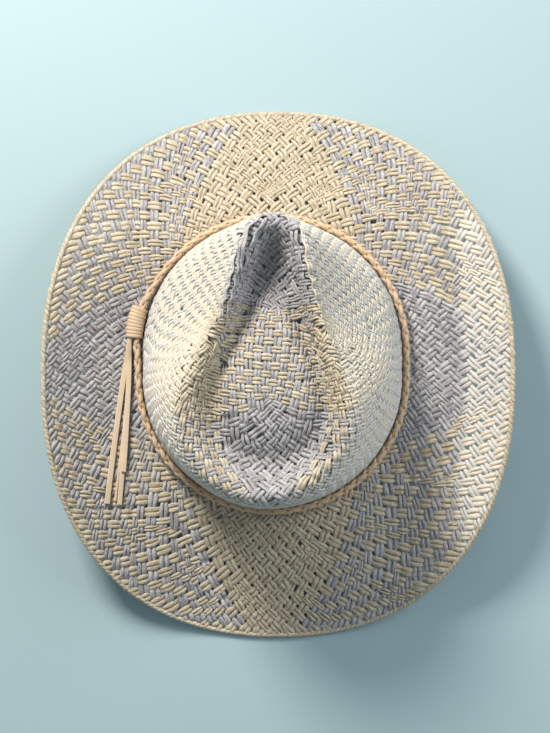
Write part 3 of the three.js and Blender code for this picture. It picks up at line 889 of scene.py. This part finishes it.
# %% [markdown]
# ## The edge of the brim
#
# At the edge each strand folds back and is bound in by a running pair of yarns, which looks like
# a thin rope lying round the hat. Two tubes that turn round each other give just that.

# %% Rope round the edge
def closed_course(points, step):
    """A closed line of points resampled at an even step, with its lengths."""
    loop = np.concatenate([points, points[:1]])
    arcs = lengths_along(loop)
    count = int(round(arcs[-1] / step))
    wanted = np.arange(count) * arcs[-1] / count
    return np.stack([np.interp(wanted, arcs, loop[:, k]) for k in range(3)], 1), wanted, arcs[-1]


def smooth_loop(values, times):
    for _ in range(times):
        values = (np.roll(values, 1, 0) + 2 * values + np.roll(values, -1, 0)) / 4
    return values


def ahead_of(loop):
    """Directions of a closed line at its points."""
    return unit(np.roll(loop, -1, 0) - np.roll(loop, 1, 0))


def wind(line, angle, radius):
    """A line wound round a closed one: its points, the way out, its direction and its side."""
    along = ahead_of(line)
    outward = unit(np.cross(along, [0, 0, 1]))
    upward = np.cross(outward, along)
    off = outward * np.cos(angle)[:, None] + upward * np.sin(angle)[:, None]
    centre = line + off * radius
    heading = ahead_of(centre)
    return centre, off, heading, unit(np.cross(heading, off))


ROPE_PITCH = 7.2  # length of one turn
ROPE_OFF = 0.72  # from the rope's middle to the middle of each yarn
edge_line = raised(edge_plan, edge_height)
line, lengths, edge_length = closed_course(edge_line, 0.6)
line = smooth_loop(line, 30)
turns = round(edge_length / ROPE_PITCH)
rope = Bundle(6)
for start in (0.0, 0.5):
    angle = 2 * math.pi * (lengths / edge_length * turns + start)
    centre, off, _, side = wind(line, angle, ROPE_OFF)
    around_angle = 2 * math.pi * (np.arange(6) + 0.5) / 6
    rings = (centre[:, None] + (off[:, None] * np.cos(around_angle)[None, :, None] * 0.98)
             + side[:, None] * np.sin(around_angle)[None, :, None] * 1.5)
    rope.add(rings, lengths, 0.35 + start * 0.5, closed=True)
edge = rope.piece("edge_rope", 7.0)
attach(edge, "root")
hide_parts("edge_roll")

# %% [markdown]
# ## The braided band
#
# Four flat leather strands run round the crown's foot, two turning one way and two the other, each
# over one and under one. A strand is a tube that winds round the band's middle line while its
# distance from that line swings in and out, so the strands pass and never meet.

# %% The band's middle line
KNOT_TURN = 0.455
BAND_TURNS = np.arange(1024) / 1024


def band_line(turn, extra=0.0):
    """The band's middle line, which swings out a little under the knot."""
    plan = ring_plan(RINGS[-1], turn)
    out = unit(plan)
    off = (turn - KNOT_TURN) / 0.035
    reach = BAND_OFF + 1.7 * np.exp(-off * off) + extra
    plan = plan + MIDDLE + out * reach[:, None]
    return raised(plan, np.full(len(turn), BAND_HEIGHT))


def band_frame(distance):
    """Place, direction and outward side of the band, some way past the knot's middle."""
    turn = np.array([KNOT_TURN + distance / BAND_LENGTH])
    step = 0.002
    origin = band_line(turn)[0]
    heading = unit(band_line(turn + step)[0] - band_line(turn - step)[0])
    return origin, heading, unit(np.cross(heading, [0, 0, 1]))


# %% Its four strands
BRAID_PITCH = 20.0  # length of one turn of a strand
BRAID_OFF, BRAID_SWING = 1.5, 0.42  # a strand's distance from the middle, and how it varies
BRAID_WIDE, BRAID_THICK = 1.6, 0.72  # half of a strand's width and thickness
# Towards the front of the knot the band's own ends lie doubled on it.
before_knot = (KNOT_TURN - BAND_TURNS) * BAND_LENGTH
doubled = smoothstep(-before_knot, -30, -14) * smoothstep(before_knot, -4, 2)
line = smooth_loop(band_line(BAND_TURNS, 0.5 * doubled), 4)
line, lengths, band_length = closed_course(line, 0.75)
doubled = np.interp(lengths / band_length, BAND_TURNS, doubled)
braid_turns = 2 * round(band_length / BRAID_PITCH / 2)
braid = Bundle(8)
section = 2 * math.pi * (np.arange(8) + 0.5) / 8
for way in (1, -1):
    for start in (0, 0.5):
        phase = 2 * math.pi * lengths / band_length * braid_turns
        angle = way * phase + 2 * math.pi * start
        swell = 1 + 0.3 * doubled
        radius = (BRAID_OFF + BRAID_SWING * way * np.cos(2 * phase)) * swell
        centre, off, heading, side = wind(line, angle, radius[:, None])
        up_now = np.cross(side, heading)
        wide = BRAID_WIDE * swell
        bulge = np.sign(np.cos(section)) * np.abs(np.cos(section)) ** 0.8
        flat = np.sign(np.sin(section)) * np.abs(np.sin(section)) ** 0.7
        rings = (centre[:, None] + side[:, None] * (wide[:, None] * bulge)[:, :, None]
                 + up_now[:, None] * (BRAID_THICK * flat)[None, :, None]
                 - off[:, None] * (0.34 * bulge**2)[None, :, None])
        braid.add(rings, lengths, rng.uniform(0, 1), closed=True)
band = braid.piece("band_braid", 9.0)
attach(band, "root")
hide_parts("braided_band")

# %% [markdown]
# ## The knot
#
# A lace is wound nine times round the band and the tassel's laces. One turn is a torus, pressed to
# an oval in edit mode. It is copied nine times along the band, each copy tilted a little, as a
# helix of lace would be. The nine are joined to one piece.

# %% One turn of lace, then nine
KNOT_TURNS = 9
KNOT_LENGTH = 20.0
KNOT_RADIUS = 5.05
KNOT_LACE = 0.62  # half of the lace's thickness
KNOT_OFF = 1.95  # the knot's middle from the band's, outwards


def deselect():
    if bpy.context.object and bpy.context.object.mode == "EDIT":
        bpy.ops.object.mode_set(mode="OBJECT")
    bpy.ops.object.select_all(action="DESELECT")


def lace_turn():
    """An oval ring of lace round the band's direction, X, at the origin, in metres."""
    deselect()
    bpy.ops.mesh.primitive_torus_add(
        major_segments=40, minor_segments=10, major_radius=KNOT_RADIUS * MM,
        minor_radius=KNOT_LACE * MM, rotation=(0, math.pi / 2, 0))
    bpy.ops.object.mode_set(mode="EDIT")
    bpy.ops.mesh.select_all(action="SELECT")
    bpy.ops.transform.resize(value=(2.2, 1.06, 0.8))
    bpy.ops.object.mode_set(mode="OBJECT")
    bpy.ops.object.transform_apply(location=True, rotation=True, scale=True)
    return bpy.context.object


def points_of(obj):
    """A mesh's own points, as rows."""
    co = np.empty(len(obj.data.vertices) * 3)
    obj.data.vertices.foreach_get("co", co)
    return co.reshape(-1, 3)


def move_points(obj, points):
    """Moves a mesh's own points, so that the object stays at the origin."""
    obj.data.vertices.foreach_set("co", points.ravel())
    obj.data.update()


first_turn = lace_turn()
turns_of_lace = [first_turn]
for i in range(1, KNOT_TURNS):
    copy = first_turn.copy()
    copy.data = first_turn.data.copy()
    bpy.context.collection.objects.link(copy)
    turns_of_lace.append(copy)
for i, ring in enumerate(turns_of_lace):
    distance = ((i + 0.5) / KNOT_TURNS - 0.5) * (KNOT_LENGTH - 0.6)
    origin, heading, out = band_frame(distance)
    tilt = 0.06 + rng.uniform(-0.03, 0.03)
    x_axis = unit(heading + out * tilt)
    y_axis = unit(out - heading * tilt)
    fuller = 1 - 0.05 * (2 * distance / KNOT_LENGTH) ** 2 + rng.uniform(-0.015, 0.015)
    z_axis = np.array([0, 0, 1.0]) * fuller
    axes = np.array([x_axis, y_axis * fuller, z_axis])
    move_points(ring, points_of(ring) @ axes + (origin + out * KNOT_OFF) * MM)
deselect()
for ring in turns_of_lace:
    ring.select_set(True)
bpy.context.view_layer.objects.active = first_turn
bpy.ops.object.join()
knot = bpy.context.object
knot.name = knot.data.name = "knot_windings"
bpy.ops.object.shade_smooth()
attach(knot, "root")
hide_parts("band_knot")
print("knot", len(knot.data.polygons), "faces in", KNOT_TURNS, "turns")

# %% [markdown]
# ## The tassel
#
# Four cut leather laces hang from the knot over the brim. A lace starts as a cube, drawn out in
# edit mode, cut into short lengths and softened along its long edges. Its points are then carried
# onto the course that the solid gives it, so that it lies on the yarns of the brim.

# %% The brim's height under the laces
brim_tree = sheet_tree([brim_level(s) for s in np.linspace(0, 1, 60)])


def ground(x, y):
    """Height and upward normal of the brim's sheet at a place of the plan."""
    hit = brim_tree.ray_cast(Vector((x, y, 400.0)), Vector((0, 0, -1)))
    if hit[0] is None:
        return BREAK + 3.0, np.array([0, 0, 1.0])
    normal = np.array(hit[1])
    return hit[0].z, normal * (1 if normal[2] > 0 else -1)


# %% A straight lace
LACE_CUTS = 46


def only_long_edges(lace):
    """Selects the edges that run the lace's whole length, and nothing else."""
    bpy.ops.object.mode_set(mode="EDIT")
    bpy.ops.mesh.select_mode(type="EDGE")
    bpy.ops.mesh.select_all(action="DESELECT")
    bpy.ops.object.mode_set(mode="OBJECT")
    for edge in lace.data.edges:
        a, b = (lace.data.vertices[v].co for v in edge.vertices)
        edge.select = abs(a.x - b.x) > 0.5
    bpy.ops.object.mode_set(mode="EDIT")


def straight_lace(name, width, thickness):
    """A flat lace of length 1 along X, in steps, with soft long edges."""
    deselect()
    bpy.ops.mesh.primitive_cube_add(size=1.0, location=(0.5, 0, 0))
    lace = bpy.context.object
    lace.name = lace.data.name = name
    bpy.ops.object.mode_set(mode="EDIT")
    bpy.ops.mesh.select_all(action="SELECT")
    bpy.ops.transform.resize(value=(1, width, thickness), center_override=(0.5, 0, 0))
    bpy.ops.object.mode_set(mode="OBJECT")
    bpy.ops.object.transform_apply(location=True, rotation=True, scale=True)
    only_long_edges(lace)
    bpy.ops.mesh.bevel(offset=thickness * 0.3, segments=3, affect="EDGES")
    bpy.ops.object.mode_set(mode="OBJECT")
    only_long_edges(lace)
    bpy.ops.mesh.subdivide(number_cuts=LACE_CUTS, ngon=False)
    bpy.ops.object.mode_set(mode="OBJECT")
    return lace


# %% Laces on their courses
# Name, where it ends to the side, how it bows out, the share it is shorter by, whether it lies on
# the others, and its width.
LACES = [
    ("lace_left", -0.039, 1.3, 0.0, 0, 1.15),
    ("lace_middle", 0.006, 0.30, 0.015, 0, 0.5),
    ("lace_right", 0.034, 0.15, 0.0, 0, 1.05),
    ("lace_top", 0.045, 0.15, 0.155, 1, 1.1),
]
REACH = 113.0  # from the knot to the longest lace's end
LACE_WIDE, LACE_THICK = 3.2, 1.5
BAND_CORNER = 2.6 / math.cos(math.pi / 8)  # the solid band is a ring with eight sides
BUNDLE_OFF = BAND_CORNER + 0.3 + 1.8  # the bundle of laces lies outside the band, a gap away
YARN_TOP = 1.55  # how far the yarns stand over the sheet
swing = math.radians(-5.5)
heading_plan = np.array([math.sin(swing), -math.cos(swing)])
aside = np.array([-heading_plan[1], heading_plan[0]])


def lace_course(index, spread, opening, drop_share, lift):
    """Middle line and upward side of a lace, from inside the knot to its cut end."""
    layer = (index / 3 - 0.5) * 2.0
    line, ups = [], []
    for share in (0.1, 0.25, 0.4):
        origin, _, out = band_frame(KNOT_LENGTH * share)
        line.append(origin + out * BUNDLE_OFF + np.array([0, 0, layer]))
        ups.append(np.array([0, 0, 1.0]))
    origin, mouth, out = band_frame(KNOT_LENGTH * 0.5)
    start = origin + out * BUNDLE_OFF
    a = start[:2]
    c = a + heading_plan * REACH + aside * spread * REACH
    b = a + mouth[:2] * REACH / 3 + aside * spread * REACH * opening
    for share in np.linspace(0, 1, 40):
        t = share * (1 - drop_share)
        plan = a * (1 - t) ** 2 + 2 * b * t * (1 - t) + c * t * t
        z, normal = ground(*plan)
        settle = float(smoothstep(share, 0, 0.25))
        seated = z + (YARN_TOP + 0.8 + 1.6 * lift) / normal[2]
        height = max(seated, (start[2] + layer) * (1 - settle) + seated * settle)
        line.append(np.array([plan[0], plan[1], height]))
        ups.append(unit(np.array([0, 0, 1.0]) * (1 - settle) + normal * settle))
    return smooth(np.array(line), 2), np.array(ups)


tassel = []
for index, (name, spread, opening, drop_share, lift, width) in enumerate(LACES):
    line, ups = lace_course(index, spread, opening, drop_share, lift)
    arcs = lengths_along(line)
    lace = straight_lace(name, LACE_WIDE * width, LACE_THICK)
    co = points_of(lace)
    s = co[:, 0] * arcs[-1]
    middle = at(arcs, line, s)
    ahead = unit(at(arcs, line, np.minimum(s + 1, arcs[-1])) - at(arcs, line, np.maximum(s - 1, 0)))
    up_now = unit(at(arcs, ups, s))
    side = unit(np.cross(up_now, ahead))
    up_now = np.cross(ahead, side)
    narrow = 0.75 + 0.25 * smoothstep(s, 12, 40)
    curl = 0.16 * (co[:, 1] / (LACE_WIDE / 2 * width)) ** 2
    placed = middle + side * (co[:, 1] * narrow)[:, None] + up_now * (co[:, 2] + curl)[:, None]
    move_points(lace, placed * MM)
    deselect()
    lace.select_set(True)
    bpy.context.view_layer.objects.active = lace
    bpy.ops.object.mode_set(mode="EDIT")
    bpy.ops.mesh.select_all(action="SELECT")
    bpy.ops.mesh.normals_make_consistent(inside=False)
    bpy.ops.object.mode_set(mode="OBJECT")
    bpy.ops.object.shade_smooth_by_angle(angle=math.radians(50))
    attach(lace, "root")
    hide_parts("tassel")
    tassel.append(lace)
    print(name, round(float(arcs[-1])), "mm long,", len(lace.data.polygons), "faces")

# %% [markdown]
# ## Straw
#
# Paper yarn is matt. Its twist shows as fine slanting lines, painted darker in their grooves as
# painted shade, and its dye varies a little along each yarn and from yarn to yarn. The lines come
# from the yarn's own map, so that they follow it.
# On the crown's wall and the brim's right side the straw is painted paler, as strong light washes
# it
# out: painted light, with cream and grey nearly one pale tone there. Where, is an attribute that
# each tube carries.

# %% Effects that the materials share
def new_group(name, inputs, outputs):
    group = bpy.data.node_groups.new(name, "ShaderNodeTree")
    for label, kind, value in inputs:
        socket = group.interface.new_socket(label, in_out="INPUT", socket_type=kind)
        socket.default_value = value
    for label, kind in outputs:
        group.interface.new_socket(label, in_out="OUTPUT", socket_type=kind)
    given, out = (group.nodes.new(kind) for kind in ("NodeGroupInput", "NodeGroupOutput"))
    return group, given.outputs, out.inputs


class Graph:
    """Adds nodes to a tree and links them. Each call gives the new node's result."""

    def __init__(self, tree):
        self.nodes, self.links = tree.nodes, tree.links

    def feed(self, socket, value):
        """Links another node's result to a socket, or sets a plain value."""
        if hasattr(value, "links"):
            self.links.new(value, socket)
        elif value is not None:
            socket.default_value = value

    def math(self, operation, a, b=None, c=None):
        node = self.nodes.new("ShaderNodeMath")
        node.operation = operation
        for socket, value in zip(node.inputs, (a, b, c)):
            self.feed(socket, value)
        return node.outputs[0]

    def mix(self, factor, a, b):
        node = self.nodes.new("ShaderNodeMix")
        node.data_type = "RGBA"
        for index, value in ((0, factor), (6, a), (7, b)):
            self.feed(node.inputs[index], value)
        return node.outputs[2]

    def noise(self, vector, scale, detail=3.0, rough=0.55):
        node = self.nodes.new("ShaderNodeTexNoise")
        labels = ("Vector", "Scale", "Detail", "Roughness")
        for label, value in zip(labels, (vector, scale, detail, rough)):
            self.feed(node.inputs[label], value)
        return node.outputs[0]

    def rescale(self, value, *ends):
        """A value carried from one range to another: from, from, to and to."""
        node = self.nodes.new("ShaderNodeMapRange")
        self.feed(node.inputs["Value"], value)
        for label, limit in zip(("From Min", "From Max", "To Min", "To Max"), ends):
            node.inputs[label].default_value = limit
        return node.outputs[0]

    def attribute(self, name):
        node = self.nodes.new("ShaderNodeAttribute")
        node.attribute_name = name
        return node.outputs["Fac"]


def straw_group():
    group, given, out = new_group(
        "paper yarn",
        [("Colour", "NodeSocketColor", (0.7, 0.6, 0.4, 1)),
         ("Shade", "NodeSocketColor", (0.4, 0.3, 0.2, 1)), ("Uneven", "NodeSocketFloat", 0.5),
         ("Painted light colour", "NodeSocketColor", (0.8, 0.8, 0.7, 1)), ("Painted light strength", "NodeSocketFloat", 0.0)],
        [("Color", "NodeSocketColor"), ("Height", "NodeSocketFloat")])
    graph = Graph(group)
    uv = graph.nodes.new("ShaderNodeUVMap")
    uv.uv_map = "Yarn"
    split = graph.nodes.new("ShaderNodeSeparateXYZ")
    graph.feed(split.inputs[0], uv.outputs[0])
    # The twist is three fibre lines round the yarn, one turn for every 3 mm along it.
    slant = graph.math("MULTIPLY_ADD", split.outputs[0], 100 / 3.0, split.outputs[1])
    wave = graph.math("SINE", graph.math("MULTIPLY", slant, 2 * math.pi * 3))
    place = graph.nodes.new("ShaderNodeTexCoord").outputs["Object"]
    stretch = graph.nodes.new("ShaderNodeVectorMath")
    stretch.operation = "MULTIPLY"
    stretch.inputs[1].default_value = (26.0, 5.0, 1.0)
    graph.feed(stretch.inputs[0], uv.outputs[0])
    fibre = graph.noise(stretch.outputs[0], 1.0, 3.0, 0.65)
    fine = graph.noise(place, 900.0, 2.0)
    blotch = graph.math("MULTIPLY", graph.noise(place, 60.0, 3.0), 0.6)
    broad = graph.math("MULTIPLY", graph.noise(place, 14.0, 2.0), 0.2)
    streak = graph.rescale(fibre, 0.45, 0.75, 0.0, 0.85)
    uneven_dye_and_groove_shade = graph.math("MULTIPLY_ADD", graph.attribute("tone"), 0.55, blotch)
    uneven_dye_and_groove_shade = graph.math("MULTIPLY", uneven_dye_and_groove_shade, given["Uneven"])
    # The twist lines are painted darker where their relief is lowest: painted shade in the grooves.
    for more in (graph.math("MULTIPLY_ADD", wave, -0.06, 0.06), streak, broad):
        uneven_dye_and_groove_shade = graph.math("ADD", uneven_dye_and_groove_shade, more)
    painted_light_share = graph.math("MULTIPLY", graph.attribute("sun"), given["Painted light strength"])
    # Painted light: on those places the straw is painted paler and more even, as strong light
    # washes it out.
    uneven_dye_and_groove_shade = graph.math("MULTIPLY", uneven_dye_and_groove_shade, graph.math("MULTIPLY_ADD", painted_light_share, -0.75, 1.0))
    ground_colour = graph.mix(painted_light_share, given["Colour"], given["Painted light colour"])
    graph.feed(out["Color"], graph.mix(uneven_dye_and_groove_shade, ground_colour, given["Shade"]))
    height = graph.math("MULTIPLY_ADD", fine, 0.5, graph.math("MULTIPLY", wave, 0.4))
    graph.feed(out["Height"], graph.math("SUBTRACT", height, streak))
    return group


def leather_group():
    group, given, out = new_group(
        "soft leather",
        [("Colour", "NodeSocketColor", (0.7, 0.5, 0.3, 1)),
         ("Hollow shade and blotch colour", "NodeSocketColor", (0.4, 0.2, 0.1, 1)), ("Grain", "NodeSocketFloat", 1.0)],
        [("Color", "NodeSocketColor"), ("Height", "NodeSocketFloat"),
         ("Roughness", "NodeSocketFloat")])
    graph = Graph(group)
    place = graph.nodes.new("ShaderNodeTexCoord").outputs["Object"]
    grain = graph.noise(place, 1400.0, 3.0)
    blotch = graph.noise(place, 110.0, 4.0, 0.6)
    pointed = graph.nodes.new("ShaderNodeNewGeometry").outputs["Pointiness"]
    # Painted shade: darker in the hollows between strands and turns, where pointiness is low;
    # blotches add the leather's own varied tone.
    hollow_shade_and_blotch = graph.rescale(pointed, 0.44, 0.5, 1.0, 0.0)
    hollow_shade_and_blotch = graph.math("MULTIPLY_ADD", hollow_shade_and_blotch, 0.45, graph.math("MULTIPLY", blotch, 0.5))
    graph.feed(out["Color"], graph.mix(hollow_shade_and_blotch, given["Colour"], given["Hollow shade and blotch colour"]))
    graph.feed(out["Height"], graph.math("MULTIPLY", grain, given["Grain"]))
    graph.feed(out["Roughness"], graph.math("MULTIPLY_ADD", blotch, 0.3, 0.42))
    return group


paper_yarn = straw_group()
soft_leather = leather_group()
print("groups", [g.name for g in (paper_yarn, soft_leather)])


# %% Materials of the hat
def srgb(r, g, b):
    """A colour as seen on a screen, from 0 to 255, in Blender's linear values."""
    seen = np.array([r, g, b]) / 255
    linear = np.where(seen <= 0.04045, seen / 12.92, ((seen + 0.055) / 1.055) ** 2.4)
    return (*linear.tolist(), 1.0)


def new_material(name, group, values, roughness, bump):
    material = bpy.data.materials.new(name)
    material.use_nodes = True
    nodes, links = material.node_tree.nodes, material.node_tree.links
    shader = nodes["Principled BSDF"]
    shader.inputs["Roughness"].default_value = roughness
    effect = nodes.new("ShaderNodeGroup")
    effect.node_tree = group
    for label, value in values.items():
        effect.inputs[label].default_value = value
    links.new(effect.outputs["Color"], shader.inputs["Base Color"])
    if "Roughness" in effect.outputs:
        links.new(effect.outputs["Roughness"], shader.inputs["Roughness"])
    relief = nodes.new("ShaderNodeBump")
    relief.inputs["Strength"].default_value = bump[0]
    relief.inputs["Distance"].default_value = bump[1] * MM
    links.new(effect.outputs["Height"], relief.inputs["Height"])
    links.new(relief.outputs[0], shader.inputs["Normal"])
    return material


# Each straw's pale colour and its strength are painted light, for the washed-out places.
cream_straw = new_material("cream straw", paper_yarn, {
    "Colour": srgb(223, 213, 193), "Shade": srgb(160, 143, 116), "Uneven": 0.46,
    "Painted light colour": srgb(227, 217, 203), "Painted light strength": 0.9}, 0.72, (0.6, 0.3))
grey_straw = new_material("grey straw", paper_yarn, {
    "Colour": srgb(210, 206, 205), "Shade": srgb(126, 122, 127), "Uneven": 0.48,
    "Painted light colour": srgb(224, 219, 211), "Painted light strength": 0.85}, 0.72, (0.6, 0.3))
band_leather = new_material("natural leather", soft_leather, {
    "Colour": srgb(224, 204, 178), "Hollow shade and blotch colour": srgb(188, 154, 120), "Grain": 1.0}, 0.6, (0.3, 0.2))
for (part, cream), pieces in woven.items():
    for piece in pieces:
        piece.data.materials.append(cream_straw if cream else grey_straw)
edge.data.materials.append(cream_straw)
for piece in (band, knot, *tassel):
    piece.data.materials.clear()
    piece.data.materials.append(band_leather)

# %% [markdown]
# ## Table, light and camera
#
# The hat lies on a plain pale blue table. One soft light at the upper left is warm and draws the
# weave's shadows. A larger, cooler one at the right and a dim sky fill them. The camera looks
# straight down.

# %% Table
deselect()
bpy.ops.mesh.primitive_plane_add(size=6.0, location=(0, 0, 0))
table = bpy.context.object
table.name = "table"
paint = bpy.data.materials.new("pale blue table")
paint.use_nodes = True
paint_shader = paint.node_tree.nodes["Principled BSDF"]
paint_shader.inputs["Base Color"].default_value = srgb(161, 183, 189)
paint_shader.inputs["Roughness"].default_value = 0.8
table.data.materials.append(paint)
table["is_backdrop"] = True

# %% Light
def area_light(name, place, aim, size, power, colour):
    lamp = bpy.data.lights.new(name, "AREA")
    lamp.shape, lamp.size, lamp.energy, lamp.color = "DISK", size, power, colour
    holder = bpy.data.objects.new(name, lamp)
    holder.location = place
    holder.rotation_euler = (Vector(aim) - Vector(place)).to_track_quat("-Z", "Y").to_euler()
    bpy.context.collection.objects.link(holder)
    return holder


area_light("key", (-0.51, 0.91, 0.82), (0, 0, 0.05), 0.4, 25, (1.0, 0.95, 0.86))
area_light("fill", (1.1, 0.55, 0.9), (0, 0, 0.05), 0.9, 11.5, (0.95, 0.98, 1.0))
world = bpy.context.scene.world or bpy.data.worlds.new("studio")
bpy.context.scene.world = world
world.use_nodes = True
world.node_tree.nodes["Background"].inputs[0].default_value = (0.78, 0.93, 1.0, 1)
world.node_tree.nodes["Background"].inputs[1].default_value = 0.34

# %% Camera
lens = bpy.data.cameras.new("camera")
lens.sensor_fit = "VERTICAL"
lens.angle = 2 * math.atan(0.248 / 1.3)
camera = bpy.data.objects.new("camera", lens)
camera.location = (-0.002, 0.0055, 1.331)
camera.rotation_euler = (0, 0, 0)
bpy.context.collection.objects.link(camera)
bpy.context.scene.camera = camera
bpy.context.scene.view_settings.view_transform = "Standard"

# %% The solid's box and the visual one, printed
visual_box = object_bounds()
boxes = {"cad": cad_box, "visual": visual_box}
boxes = {label: [list(map(float, corner)) for corner in box] for label, box in boxes.items()}
print("cad", boxes["cad"], "visual", boxes["visual"])
